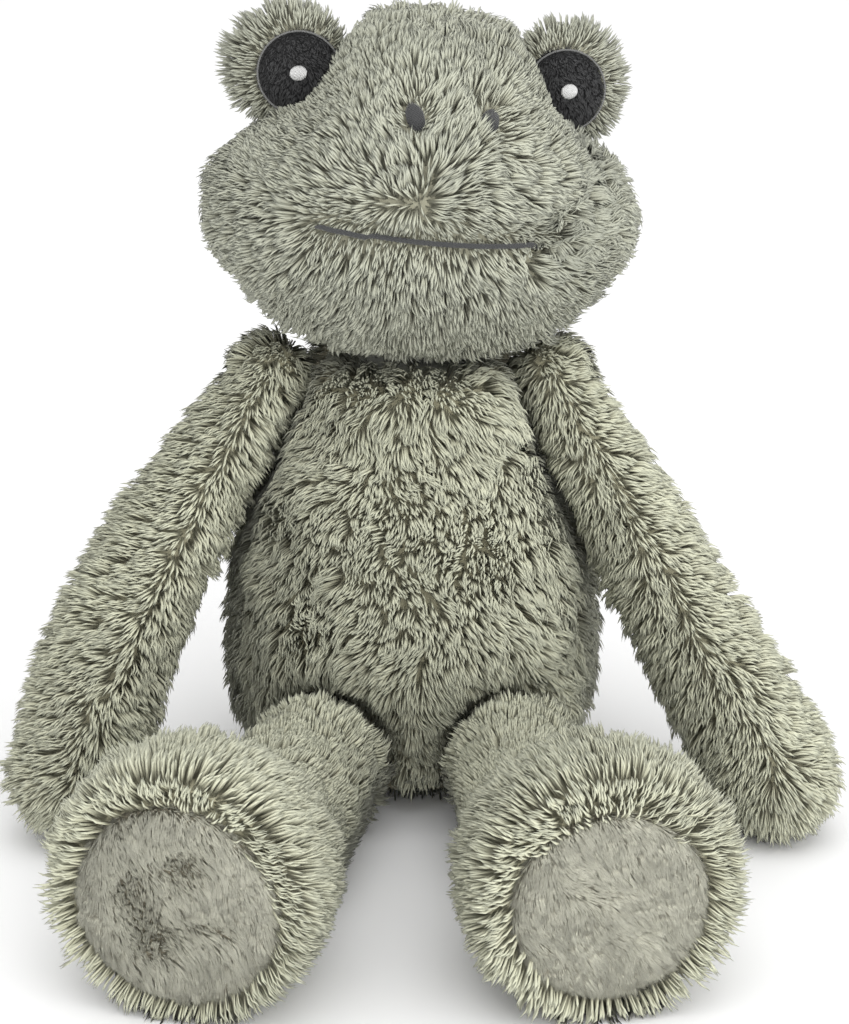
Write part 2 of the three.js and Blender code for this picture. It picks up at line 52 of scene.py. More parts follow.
scene = bpy.context.scene
scene.view_settings.view_transform = "Standard"


def new_object(name, data):
    """A new object in the scene."""
    made = bpy.data.objects.new(name, data)
    scene.collection.objects.link(made)
    return made


camera_data = bpy.data.cameras.new("camera")
camera_data.lens = LENS
camera_data.sensor_width = 36
camera_data.clip_end = 50
camera = new_object("camera", camera_data)
camera.location = CAMERA_TARGET + Vector(
    (0, -CAMERA_DISTANCE * math.cos(CAMERA_DOWN), CAMERA_DISTANCE * math.sin(CAMERA_DOWN))
)
camera.rotation_euler = (CAMERA_TARGET - camera.location).to_track_quat("-Z", "Y").to_euler()
scene.camera = camera

world = bpy.data.worlds.new("studio")
world.use_nodes = True
scene.world = world
sky = world.node_tree.nodes["Background"]
sky.inputs["Color"].default_value = (1, 1, 1, 1)
sky.inputs["Strength"].default_value = 1.0


def light_panel(name, place, size, power):
    """A soft square light that faces the frog."""
    lamp = bpy.data.lights.new(name, "AREA")
    lamp.size = size
    lamp.energy = power
    panel = new_object(name, lamp)
    panel.location = place
    panel.rotation_euler = (Vector((0, 0, 0.1)) - panel.location).to_track_quat("-Z", "Y").to_euler()


light_panel("light_above", Vector((0.1, -0.6, 1.6)), 1.3, 7)
light_panel("light_front", Vector((0.5, -1.8, 0.6)), 1.5, 17)
light_panel("light_right", Vector((1.3, -1.0, 0.7)), 0.9, 3)

FLOOR_REACH = 9
floor_mesh = bpy.data.meshes.new("floor")
corners = [(x * FLOOR_REACH, y * FLOOR_REACH, 0) for x, y in ((-1, -1), (1, -1), (1, 1), (-1, 1))]
floor_mesh.from_pydata(corners, [], [(0, 1, 2, 3)])
floor = new_object("floor", floor_mesh)
floor_paper = bpy.data.materials.new("pale floor paper")
floor_paper.use_nodes = True
paper_shader = floor_paper.node_tree.nodes["Principled BSDF"]
paper_shader.inputs["Base Color"].default_value = (0.93, 0.93, 0.93, 1)
paper_shader.inputs["Roughness"].default_value = 0.9
floor_mesh.materials.append(floor_paper)

# Body
# The body is a pear-shaped bag of long pile fabric: a belly panel, two back panels and a flat seat,
# sewn together and stuffed hard. The pile is swirled on the belly and hangs longer towards the legs.

AROUND = 72
TURN = 2 * np.pi * np.arange(AROUND) / AROUND
PILE_DEPTH = 5.2 * MM  # the cloth lies this far inside the solids, and the pile fills the rest
CLOTH = 1.0 * MM
BODY_HEIGHT, BODY_WIDE, BODY_DEEP = 155 * MM, 57 * MM, 57 * MM
# height, half width, half depth, forward
BODY_ROWS = [
    (-0.003, 0, 0, 0.035),
    (-0.003, 0.4, 0.36, 0.035),
    (0, 0.785, 0.69, 0.035),
    (0.042, 0.88, 0.81, 0.05),
    (0.13, 0.966, 0.93, 0.07),
    (0.24, 1, 0.98, 0.095),
    (0.356, 0.99, 1, 0.115),
    (0.485, 0.95, 0.93, 0.105),
    (0.613, 0.88, 0.825, 0.09),
    (0.742, 0.785, 0.7, 0.07),
    (0.85, 0.67, 0.64, 0.07),
    (0.945, 0.48, 0.5, 0.09),
    (0.995, 0.2, 0.22, 0.09),
    (1, 0, 0, 0.09),
]


def run_through(rows, steps, wide=()):
    """Rows of a table, with a smooth run of more rows between each two. At a pole, where the columns
    named as wide are nought, the run goes on as on the other side of the form."""
    rows = np.array(rows, float)
    before, after = 2 * rows[0] - rows[1], 2 * rows[-1] - rows[-2]
    if wide:
        before, after = rows[1].copy(), rows[-2].copy()
        before[list(wide)] *= -1
        after[list(wide)] *= -1
    p = np.vstack([before, rows, after])
    run = []
    for i in range(1, len(p) - 2):
        a, b, c, d = p[i - 1 : i + 3]
        for t in np.arange(steps) / steps:
            bend = (2 * a - 5 * b + 4 * c - d) * t**2 + (3 * b - a - 3 * c + d) * t**3
            run.append((2 * b + (c - a) * t + bend) / 2)
    return np.array(run + [p[-2]])


def upright_rings(rows, bottom, height, wide, deep):
    """Rings of points round an upright form, from the bottom pole to the top one."""
    up, w, d, forward = [column[:, None] for column in run_through(rows, 3, wide=(1, 2)).T]
    x = np.cos(TURN) * w * wide
    y = np.sin(TURN) * d * deep - forward * deep
    z = bottom + up * height + 0 * TURN
    return np.stack([x, y, z], axis=-1)


def circle(across, upward):
    """Places round a circle that two directions span."""
    return np.cos(TURN)[:, None] * across + np.sin(TURN)[:, None] * upward


def facing(rings):
    """The outward direction at each point of a form's rings."""
    around = np.roll(rings, -1, axis=1) - np.roll(rings, 1, axis=1)
    along = np.gradient(rings, axis=0)
    out = np.cross(around, along)
    out[0], out[-1] = out[1].mean(0), out[-2].mean(0)
    return out / np.linalg.norm(out, axis=-1, keepdims=True)


def eased(values, rounds):
    """Values on a form's rings, evened out with their neighbours'."""
    for _ in range(rounds):
        around = (np.roll(values, 1, axis=1) + np.roll(values, -1, axis=1)) / 2
        along = values.copy()
        along[1:-1] = (values[:-2] + values[2:]) / 2
        values = values / 2 + around / 4 + along / 4
        values[0], values[-1] = values[0].mean(0), values[-1].mean(0)
    return values


def solid_tree(names):
    """The faces of several CAD nodes, to measure against."""
    places, faces = [], []
    for name in names:
        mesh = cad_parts[name].data
        start = len(places)
        places += [v.co.copy() for v in mesh.vertices]
        faces += [[start + i for i in p.vertices] for p in mesh.polygons]
    return BVHTree.FromPolygons(places, faces)


SKINS = {
    "torso": ["belly_panel", "back_panel_left", "back_panel_right", "seat_panel"],
    "head": ["face_panel", "chin_panel", "head_back_left", "head_back_right"],
}
for side in ("left", "right"):
    SKINS["eye_" + side] = ["eye_mound_" + side, "eye_patch_" + side]
    SKINS["arm_" + side] = ["arm_outer_panel_" + side, "arm_inner_panel_" + side]
    leg_nodes = ("leg_upper_panel_", "leg_under_panel_", "foot_cover_", "sole_pad_")
    SKINS["leg_" + side] = [node + side for node in leg_nodes]


def seated(rings, part, slack=1.6 * MM, reach=30 * MM):
    """A form drawn in under its pile, and into the hollows that its solids leave for the neighbours."""
    own = solid_tree(SKINS[part])
    out = facing(rings)
    sink = np.zeros(rings.shape[:2])
    for i, j in np.ndindex(sink.shape):
        place, way = Vector(rings[i, j]), Vector(out[i, j])
        hit = own.ray_cast(place + way * reach, -way, 2 * reach)[0]
        if hit:
            deep = (place - hit).dot(way)
            sink[i, j] = math.copysign(max(0, abs(deep) - slack), deep)
    sink = eased(sink, 2)[..., None]
    return eased(rings - out * (sink + PILE_DEPTH), 1)


def closed_mesh(name, rings):
    """A closed mesh over rings whose first and last are poles."""
    count, around = rings.shape[:2]
    places = [rings[0, 0], *rings[1:-1].reshape(-1, 3), rings[-1, 0]]
    at = lambda i, j: 1 + (i - 1) * around + j % around
    faces = []
    for j in range(around):
        faces.append((0, at(1, j + 1), at(1, j)))
        faces += [(at(i, j), at(i, j + 1), at(i + 1, j + 1), at(i + 1, j)) for i in range(1, count - 2)]
        faces.append((len(places) - 1, at(count - 2, j), at(count - 2, j + 1)))
    mesh = bpy.data.meshes.new(name)
    mesh.from_pydata([tuple(p) for p in places], [], faces)
    return mesh


def faces_of(mesh):
    """A mesh's faces, to measure against."""
    places = [v.co.copy() for v in mesh.vertices]
    return BVHTree.FromPolygons(places, [list(p.vertices) for p in mesh.polygons])


def add(tree, kind, inputs=None, out=0, **settings):
    """Adds a node to a tree, with its inputs set or linked, and returns one of its outputs."""
    node = tree.nodes.new(kind)
    for key, value in settings.items():
        setattr(node, key, value)
    for socket, value in (inputs or {}).items():
        if isinstance(value, bpy.types.NodeSocket):
            tree.links.new(value, node.inputs[socket])
        else:
            node.inputs[socket].default_value = value
    return node.outputs[out]


def number(operation, a, b=0.0):
    """Calculates with numbers, in the tree that one of them comes from."""
    tree = (a if isinstance(a, bpy.types.NodeSocket) else b).id_data
    return add(tree, "ShaderNodeMath", {0: a, 1: b}, operation=operation)


def vector(operation, a, b=(0, 0, 0)):
    """Calculates with vectors."""
    return add(a.id_data, "ShaderNodeVectorMath", {0: a, 1: b}, operation=operation)


def plus(total, *others):
    for other in others:
        total = number("ADD", total, other)
    return total


def minus(a, b):
    return number("SUBTRACT", a, b)


def times(total, *others):
    for other in others:
        total = number("MULTIPLY", total, other)
    return total


def scaled(a, by):
    """A vector made longer or shorter."""
    return add(a.id_data, "ShaderNodeVectorMath", {0: a, "Scale": by}, operation="SCALE")


def split(a):
    """The x, y and z of a vector."""
    return list(add(a.id_data, "ShaderNodeSeparateXYZ", {0: a}).node.outputs)


def stored(geometry, name, value, kind, domain):
    """Geometry that carries a value under a name."""
    tree, inputs = geometry.id_data, {"Geometry": geometry, "Name": name, "Value": value}
    return add(tree, "GeometryNodeStoreNamedAttribute", inputs, data_type=kind, domain=domain)


def made_of(geometry, given):
    """Closes a tree: its result is smooth geometry in the given material."""
    tree = geometry.id_data
    geometry = add(tree, "GeometryNodeSetShadeSmooth", {"Geometry": geometry})
    geometry = add(tree, "GeometryNodeSetMaterial", {"Geometry": geometry, "Material": given["Material"]})
    tree.links.new(geometry, tree.nodes.new("NodeGroupOutput").inputs[0])
    return tree


# tufts are counted to the square metre, and the shares are of a tuft's length
PILE_SIZES = {
    "Tufts": 1150000.0,
    "Length": 10 * MM,
    "Thickness": 0.37 * MM,
    "Rise": 0.52,
    "Reach": 0.62,
    "Lock Spacing": 1.7 * MM,
    "Lock Pull": 0.34,
    "Lock Turn": 0.3,
    "Swirl": 0.4,
    "Swirl Size": 30 * MM,
    "Patches": 0.12,
    "Patch Size": 12 * MM,
    "Floor": 0.3 * MM,
}


def new_tree(name, sizes, counts):
    """An empty tree with named sizes and counts as its inputs."""
    tree = bpy.data.node_groups.new(name, "GeometryNodeTree")
    tree.interface.new_socket("Base", in_out="OUTPUT", socket_type="NodeSocketGeometry")
    tree.interface.new_socket("Base", in_out="INPUT", socket_type="NodeSocketGeometry")
    for kind, values in (("NodeSocketFloat", sizes), ("NodeSocketInt", counts)):
        for key, value in values.items():
            tree.interface.new_socket(key, in_out="INPUT", socket_type=kind).default_value = value
    tree.interface.new_socket("Material", in_out="INPUT", socket_type="NodeSocketMaterial")
    return tree, tree.nodes.new("NodeGroupInput").outputs


# how much chance turns a swirl, a single tuft and a tuft in a tangled place, in radians
SWIRL_TURN, TUFT_TURN, TANGLE_TURN = 5.0, 0.22, 3.0
# how unevenly long the locks and tufts are, and how unevenly thick
LOCK_LONG, TUFT_LONG, TUFT_THICK = 0.22, 0.14, 0.25
# how unevenly the locks stand, how high a standing tuft rises, and how much less it reaches out
LOCK_STAND, STANDING_RISE, STANDING_REACH = 0.16, 0.95, 0.75
# where a tuft's bow lies, as shares of its length up and along
BOW_RISE, BOW_REACH = 0.5, 0.12
# how unevenly the locks, tufts and brushed patches are toned, and how much darker standing pile is painted
# than lying pile, as painted shade in its gaps
LOCK_TONE, TUFT_TONE, PATCH_TONE, STANDING_PAINTED_SHADE = 0.26, 0.12, 4.0, 0.35
# how much a tuft widens towards its tip, and how flat it is
TUFT_WIDENS, TUFT_FLAT = 1.5, 0.6
# the part of the colour chart that tufts take, from root to tip; the cloth lies below it
CHART_START, CHART_LONG, CHART_CLOTH = 0.07, 0.9, 0.015


def make_pile_tree():
    """Sews tufts of pile on a cloth: each is a thin bent cone that leans along the cloth's lay and
    draws together with the others of its lock."""
    tree, given = new_tree("Sewn pile", PILE_SIZES, {"Seed": 0, "Bends": 2})

    def named(name, kind="FLOAT"):
        return add(tree, "GeometryNodeInputNamedAttribute", {"Name": name}, data_type=kind)

    def chance(seed, ident=None):
        inputs = {2: -1.0, 3: 1.0, 8: seed}
        if ident is not None:
            inputs[7] = ident
        return add(tree, "FunctionNodeRandomValue", inputs, out=1, data_type="FLOAT")

    outer = number("GREATER_THAN", named("outer"), 0.5)
    place = add(tree, "GeometryNodeInputPosition")
    tufts = add(
        tree,
        "GeometryNodeDistributePointsOnFaces",
        {
            "Mesh": given["Base"],
            "Selection": outer,
            "Density": times(given["Tufts"], named("cover")),
            "Seed": given["Seed"],
        },
        distribute_method="RANDOM",
    )
    locks = add(
        tree,
        "GeometryNodeDistributePointsOnFaces",
        {
            "Mesh": given["Base"],
            "Selection": outer,
            "Distance Min": given["Lock Spacing"],
            "Density Max": 400000.0,
            "Seed": given["Seed"],
        },
        distribute_method="POISSON",
    )
    lock = add(tree, "GeometryNodeSampleNearest", {"Geometry": locks, "Sample Position": place})
    lock_place = add(
        tree,
        "GeometryNodeSampleIndex",
        {"Geometry": locks, "Value": place, "Index": lock},
        data_type="FLOAT_VECTOR",
    )
    up = vector("NORMALIZE", named("up", "FLOAT_VECTOR"))
    flow = named("flow", "FLOAT_VECTOR")
    along_up = add(tree, "ShaderNodeVectorMath", {0: flow, 1: up}, out="Value", operation="DOT_PRODUCT")
    flat = vector("NORMALIZE", vector("SUBTRACT", flow, scaled(up, along_up)))
    swirl = add(
        tree,
        "ShaderNodeTexNoise",
        {"Vector": place, "Scale": number("DIVIDE", 1.0, given["Swirl Size"]), "Detail": 1.0},
    )
    turn = plus(
        times(minus(swirl, 0.5), SWIRL_TURN, given["Swirl"]),
        times(chance(11, lock), given["Lock Turn"]),
        times(chance(12), TUFT_TURN),
        times(chance(19, lock), times(named("mess"), TANGLE_TURN)),
    )
    way = add(
        tree,
        "ShaderNodeVectorRotate",
        {"Vector": flat, "Axis": up, "Angle": turn},
        rotation_type="AXIS_ANGLE",
    )
    uneven = plus(times(chance(13, lock), LOCK_LONG), times(chance(14), TUFT_LONG))
    long = times(given["Length"], named("pile"), plus(1.0, uneven))
    stand = plus(named("stand"), times(chance(15, lock), LOCK_STAND))
    rise = plus(given["Rise"], times(stand, minus(STANDING_RISE, given["Rise"])))
    reach = times(given["Reach"], minus(1.0, times(stand, STANDING_REACH)))
    tip = scaled(vector("ADD", scaled(up, rise), scaled(way, reach)), long)
    pull = scaled(vector("SUBTRACT", lock_place, place), given["Lock Pull"])
    bow = scaled(vector("ADD", scaled(up, BOW_RISE), scaled(way, BOW_REACH)), long)
    brushed = add(
        tree,
        "ShaderNodeTexNoise",
        {"Vector": place, "Scale": number("DIVIDE", 1.0, given["Patch Size"]), "Detail": 2.0},
    )
    tone = plus(
        times(chance(16, lock), LOCK_TONE),
        times(chance(17), TUFT_TONE),
        times(minus(brushed, 0.5), PATCH_TONE, given["Patches"]),
        # standing pile is painted darker and lying pile lighter, as painted shade in the gaps that one looks
        # into
        times(minus(0.2, named("stand")), STANDING_PAINTED_SHADE),
    )
    thick = times(given["Thickness"], plus(1.0, times(chance(18), TUFT_THICK)))
    facts = {
        "root": ("FLOAT_VECTOR", place),
        "bow": ("FLOAT_VECTOR", bow),
        "tip": ("FLOAT_VECTOR", vector("ADD", tip, pull)),
        "across": ("FLOAT_VECTOR", vector("NORMALIZE", vector("CROSS_PRODUCT", way, up))),
        "tone": ("FLOAT", number("MAXIMUM", 0.0, number("MINIMUM", 1.0, plus(0.5, tone)))),
        "thick": ("FLOAT", times(thick, number("SQRT", named("pile")))),
    }
    for name, (kind, value) in facts.items():
        tufts = stored(tufts, name, value, kind, "POINT")
    cone = add(
        tree,
        "GeometryNodeMeshCone",
        {"Vertices": 3, "Side Segments": given["Bends"], "Radius Top": 0.0, "Depth": 1.0},
        fill_type="NGON",
    )
    pile = add(tree, "GeometryNodeInstanceOnPoints", {"Points": tufts, "Instance": cone})
    pile = add(tree, "GeometryNodeRealizeInstances", {"Geometry": pile})
    own = vector("SUBTRACT", place, named("root", "FLOAT_VECTOR"))
    x, y, t = split(own)
    t = number("SQRT", number("MAXIMUM", t, 0.0))
    u = plus(times(named("tone"), 0.9), 0.05, times(x, 0.02))
    v = plus(times(t, CHART_LONG), CHART_START)
    chart = add(tree, "ShaderNodeCombineXYZ", {0: u, 1: v})
    pile = stored(pile, "OFBake", chart, "FLOAT2", "CORNER")
    left = minus(1.0, t)
    bow, tip = named("bow", "FLOAT_VECTOR"), named("tip", "FLOAT_VECTOR")
    spine = vector("ADD", scaled(bow, times(2.0, times(t, left))), scaled(tip, times(t, t)))
    ahead = vector("ADD", scaled(bow, minus(2.0, times(4.0, t))), scaled(tip, times(2.0, t)))
    across = named("across", "FLOAT_VECTOR")
    over = vector("NORMALIZE", vector("CROSS_PRODUCT", across, ahead))
    width = times(named("thick"), plus(1.0, times(t, TUFT_WIDENS)))
    ring = vector("ADD", scaled(across, times(x, width)), scaled(over, times(y, times(width, TUFT_FLAT))))
    there = vector("ADD", vector("ADD", named("root", "FLOAT_VECTOR"), spine), ring)
    there = vector("MAXIMUM", there, add(tree, "ShaderNodeCombineXYZ", {0: -9.0, 1: -9.0, 2: given["Floor"]}))
    pile = add(tree, "GeometryNodeSetPosition", {"Geometry": pile, "Position": there})
    x, y, z = split(place)
    u = plus(0.5, plus(times(x, 2.0), times(y, 0.7)))
    v = plus(CHART_CLOTH, plus(times(z, 0.08), times(y, 0.04)))
    chart = add(tree, "ShaderNodeCombineXYZ", {0: u, 1: v})
    backing = stored(given["Base"], "OFBake", chart, "FLOAT2", "CORNER")
    joined = tree.nodes.new("GeometryNodeJoinGeometry")
    tree.links.new(pile, joined.inputs[0])
    tree.links.new(backing, joined.inputs[0])
    whole = joined.outputs[0]
    for name in (*facts, "flow", "pile", "stand", "mess", "cover", "outer"):
        whole = add(tree, "GeometryNodeRemoveAttribute", {"Geometry": whole, "Name": name})
    return made_of(whole, given)


PILE_TREE = make_pile_tree()


def new_group(name, colors, sizes, results):
    """An empty shader group with named colours and sizes as its inputs, and its results."""
    group = bpy.data.node_groups.new(name, "ShaderNodeTree")
    for key in colors:
        group.interface.new_socket(key, in_out="INPUT", socket_type="NodeSocketColor")
    for key, value in sizes.items():
        group.interface.new_socket(key, in_out="INPUT", socket_type="NodeSocketFloat").default_value = value
    for key in results:
        kind = {"Color": "Color", "Normal": "Vector"}.get(key, "Float")
        group.interface.new_socket(key, in_out="OUTPUT", socket_type="NodeSocket" + kind)
    return group, group.nodes.new("NodeGroupInput").outputs, group.nodes.new("NodeGroupOutput").inputs


def matt_material(name, group, values, bump, depth, sheen):
    """A matt material whose colour and relief come from a group with its own values."""
    material = bpy.data.materials.new(name)
    material.use_nodes = True
    tree = material.node_tree
    shader = tree.nodes["Principled BSDF"]
    look = tree.nodes.new("ShaderNodeGroup")
    look.node_tree = group
    for key, value in values.items():
        look.inputs[key].default_value = value
    relief = tree.nodes.new("ShaderNodeBump")
    relief.inputs["Strength"].default_value = bump
    relief.inputs["Distance"].default_value = depth
    tree.links.new(look.outputs["Height"], relief.inputs["Height"])
    tree.links.new(look.outputs["Color"], shader.inputs["Base Color"])
    tree.links.new(relief.outputs["Normal"], shader.inputs["Normal"])
    if "Normal" in look.outputs:
        tree.links.new(look.outputs["Normal"], relief.inputs["Normal"])
    if "Roughness" in look.outputs:
        tree.links.new(look.outputs["Roughness"], shader.inputs["Roughness"])
    shader.inputs["Sheen Weight"].default_value = sheen
    return material, shader


# how much pile is lit like the cloth it grows from, how much darker that cloth is painted, as painted shade
# between the tufts, and how fine its strands
LIT_LIKE_CLOTH, GROUND_PAINTED_SHADE, STRAND_FINENESS = 0.84, 0.68, (240, 3, 0)


def make_strand_group():
    """The colour of pile from root to tip, with its fine strands."""
    results = ("Color", "Roughness", "Height", "Normal")
    group, given, out = new_group("Strands of pile", ("Root", "Middle", "Tip"), {"Unevenness": 0.2}, results)
    chart = add(group, "ShaderNodeUVMap", uv_map="OFBake")
    u, v = split(chart)[:2]
    strands = add(
        group,
        "ShaderNodeTexNoise",
        {"Vector": vector("MULTIPLY", chart, STRAND_FINENESS), "Scale": 1.0, "Detail": 1.0},
    )
    low = add(group, "ShaderNodeMapRange", {"Value": v, 1: 0.05, 2: 0.5, 3: 0.0, 4: 1.0})
    high = add(group, "ShaderNodeMapRange", {"Value": v, 1: 0.5, 2: 0.97, 3: 0.0, 4: 1.0})
    color = given["Root"]
    for share, next_color in ((low, given["Middle"]), (high, given["Tip"])):
        color = add(group, "ShaderNodeMix", {0: share, 6: color, 7: next_color}, out=2, data_type="RGBA")
    uneven = plus(minus(u, 0.5), minus(strands, 0.5))
    bright = plus(1.0, times(uneven, given["Unevenness"]))
    # the cloth under the tufts is painted darker, as painted shade between them
    painted_ground_shade = add(group, "ShaderNodeMapRange", {"Value": v, 1: 0.04, 2: 0.06, 3: GROUND_PAINTED_SHADE, 4: 1.0})
    color = scaled(color, times(bright, painted_ground_shade))
    cloth_way = add(group, "ShaderNodeAttribute", {}, out=1, attribute_name="up")
    cloth_way = add(
        group,
        "ShaderNodeVectorTransform",
        {0: cloth_way},
        vector_type="NORMAL",
        convert_from="OBJECT",
        convert_to="WORLD",
    )
    own_way = add(group, "ShaderNodeNewGeometry", out=1)
    soft = vector("ADD", scaled(own_way, 1 - LIT_LIKE_CLOTH), scaled(cloth_way, LIT_LIKE_CLOTH))
    group.links.new(vector("NORMALIZE", soft), out["Normal"])
    group.links.new(color, out["Color"])
    group.links.new(plus(0.62, times(strands, 0.3)), out["Roughness"])
    group.links.new(strands, out["Height"])
    return group


STRANDS = make_strand_group()


def pile_material(name, slot, root, middle, tip, uneven=0.3):
    """A matt pile whose tufts change colour from root to tip, with a slot name."""
    values = {"Root": (*root, 1), "Middle": (*middle, 1), "Tip": (*tip, 1), "Unevenness": uneven}
    material, shader = matt_material(name, STRANDS, values, bump=0.25, depth=0.2 * MM, sheen=0.12)
    shader.inputs["Specular IOR Level"].default_value = 0.15
    shader.inputs["Sheen Roughness"].default_value = 0.6
    return material, slot


# colours at the root, the middle and the tip; the root and middle are painted lighter than the tip, as
# painted light that lifts the shade deep in the pile and tones down the lit tips
FLUFFY_TONES = (0.57, 0.545, 0.375), (0.635, 0.63, 0.46), (0.53, 0.545, 0.43)
# the face's pile is the same pile painted darker, against the stronger light that falls on the head
FACE_TONES = (0.45, 0.44, 0.325), (0.49, 0.495, 0.385), (0.415, 0.43, 0.36)
# the back's pile is the same pile painted darker, as painted shade on the back, the seat, the nape and the
# undersides of the legs
SHADED_BACK_TONES = (0.43, 0.40, 0.27), (0.385, 0.385, 0.285), (0.385, 0.395, 0.32)
FLUFFY = pile_material("fluffy green pile", "fluffy_pile", *FLUFFY_TONES)
FACE = pile_material("fluffy face pile", "fluffy_pile", *FACE_TONES)
SHADED_BACK = pile_material("fluffy back pile", "back_pile", *SHADED_BACK_TONES)


def room(part):
    """The solids of everything that lies near a part, apart from itself."""
    own = {part}
    if part.startswith("eye"):
        own.add("head")
    if part == "head":
        own |= {"eye_left", "eye_right"}
    return solid_tree([n for other, nodes in SKINS.items() if other not in own for n in nodes])


# the pile is short where a neighbour presses on it, and long again where it is free, in millimetres
PRESSED, FREE, LEAST_PILE = 1.5, 8.5, 0.35


def cloth_panel(name, form, planes, lay, near):
    """The piece of a closed form inside every plane, as cloth with a thickness. lay gives, for places
    and outward directions in millimetres, how the pile lies there."""
    cloth = bmesh.new()
    cloth.from_mesh(form)
    for spot, away in planes:
        every = cloth.verts[:] + cloth.edges[:] + cloth.faces[:]
        bmesh.ops.bisect_plane(cloth, geom=every, dist=1e-7, plane_co=spot, plane_no=away, clear_outer=True)
    cloth.normal_update()
    cloth.verts.index_update()
    outer = cloth.faces.layers.float.new("outer")
    rims = [e for e in cloth.edges if len(e.link_faces) == 1]
    faces = cloth.faces[:]
    skin = cloth.verts[:]
    inner = {v: cloth.verts.new(v.co - v.normal * CLOTH) for v in skin}
    for edge in rims:
        loop = edge.link_loops[0]
        a, b = loop.vert, loop.link_loop_next.vert
        cloth.faces.new([b, a, inner[a], inner[b]])
    for face in faces:
        face[outer] = 1
        cloth.faces.new([inner[v] for v in reversed(face.verts)])
    cloth.verts.index_update()
    at = [v.index for v in skin]
    up = np.array([v.normal for v in skin])
    place = np.array([v.co for v in skin]) / MM
    mesh = bpy.data.meshes.new(name)
    cloth.to_mesh(mesh)
    cloth.free()
    gap = np.array([near.find_nearest(Vector(p * MM))[3] for p in place]) / MM
    facts = {"stand": 0.0, "mess": 0.0, "pile": 1.0, "cover": 1.0, **lay(place, up)}
    least = LEAST_PILE + (1 - LEAST_PILE) * facts.pop("hang", 0)
    facts["pile"] = facts["pile"] * np.clip((gap - PRESSED) / (FREE - PRESSED), least, 1)
    facts["up"] = up
    for key, value in facts.items():
        kind, field, wide = "FLOAT", "value", 1
        if key in ("up", "flow"):
            kind, field, wide = "FLOAT_VECTOR", "vector", 3
        whole = np.zeros((len(mesh.vertices), wide), np.float32)
        whole[at] = np.reshape(value, (-1, wide))
        mesh.attributes.new(key, kind, "POINT").data.foreach_set(field, whole.ravel())
    return mesh


def plain_mesh(piece):
    """The mesh that an object's modifiers make."""
    graph = bpy.context.evaluated_depsgraph_get()
    return bpy.data.meshes.new_from_object(piece.evaluated_get(graph))


def grown(name, base, tree, given):
    """A piece that is the plain mesh which a tree makes on a base."""
    bare = new_object(name + "_base", base)
    modifier = bare.modifiers.new("grown", "NODES")
    modifier.node_group = tree
    for item in tree.interface.items_tree:
        if item.in_out == "INPUT" and item.name in given:
            modifier[item.identifier] = given[item.name]
    bare.update_tag()
    made = plain_mesh(bare)
    made.name = name
    bpy.data.objects.remove(bare)
    return new_object(name, made)


def sewn_pile(name, mesh, material, seed, **sizes):
    """A piece of cloth with its pile."""
    given = {**PILE_SIZES, "Seed": seed, "Material": material, "Bends": 2, **sizes}
    return grown(name, mesh, PILE_TREE, given)


def dress(piece, node, body):
    """The piece takes its CAD node's place on that body."""
    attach(piece, body)
    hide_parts(node)


def pelt(name, node, body, look, form, planes, lay, near, seed, **sizes):
    """A panel of pile fabric, cut from a form, in its CAD node's place. look is material and slot; the slot
    is not used.
    """
    cloth = cloth_panel("cloth_" + name, form, planes, lay, near)
    dress(sewn_pile(name, cloth, look[0], seed, **sizes), node, body)


STUFFING_FRAMES, STUFFING_PRESSURE, CLOTH_MASS = 20, 4, 0.15
HOLD_REACH, SEAM_WIDTH = 9 * MM, 2.2 * MM


def stuffed(form, seams, near, growth=0.02, cap=1.6 * MM):
    """A bag of cloth blown up by what it is stuffed with. It is held along its seams and wherever it lies
    against a neighbour, and none of it moves further than a cap."""
    start = np.array([v.co for v in form.vertices])
    hold = np.array([math.exp(-((near.find_nearest(Vector(p))[3] / HOLD_REACH) ** 2)) for p in start])
    for spot, away in seams:
        off = (start - np.array(spot)) @ np.array(away)
        hold = np.maximum(hold, np.exp(-((off / SEAM_WIDTH) ** 2)))
    hold = np.maximum(hold, np.clip(1.5 - start[:, 2] / PILE_DEPTH, 0, 1))
    bag = new_object("bag", form.copy())
    held = bag.vertex_groups.new(name="held")
    for i, weight in enumerate(hold):
        held.add([i], float(weight), "REPLACE")
    cloth = bag.modifiers.new("stuffed", "CLOTH")
    cloth.settings.quality = 6
    cloth.settings.mass = CLOTH_MASS
    cloth.settings.use_pressure = True
    cloth.settings.uniform_pressure_force = STUFFING_PRESSURE
    cloth.settings.shrink_min = -growth
    cloth.settings.effector_weights.gravity = 0
    cloth.settings.vertex_group_mass = "held"
    cloth.point_cache.frame_end = STUFFING_FRAMES
    for now in range(1, STUFFING_FRAMES + 1):
        scene.frame_set(now)
    made = plain_mesh(bag)
    bpy.data.objects.remove(bag)
    scene.frame_set(1)
    move = np.array([v.co for v in made.vertices]) - start
    far = np.linalg.norm(move, axis=1, keepdims=True)
    made.vertices.foreach_set("co", (start + move * np.minimum(1, cap / np.maximum(far, 1e-9))).ravel())
    return made


def unit(v):
    """Directions of length 1."""
    return v / np.maximum(np.linalg.norm(v, axis=-1, keepdims=True), 1e-9)


def past(x, start, over):
    """0 up to a start, then rising to 1 over a distance. It rises downwards where that is below 0."""
    return np.clip((x - start) / over, 0, 1)


def bump_at(p, spot, size):
    """1 at a spot, falling off smoothly over a size."""
    return np.exp(-(((p - np.array(spot)) / np.array(size)) ** 2).sum(-1))


body_rings = upright_rings(BODY_ROWS, -0.5 * MM, BODY_HEIGHT, BODY_WIDE, BODY_DEEP)
body_room = room("torso")
FRONT_CUT, SEAT_CUT = -24 * MM, 14 * MM
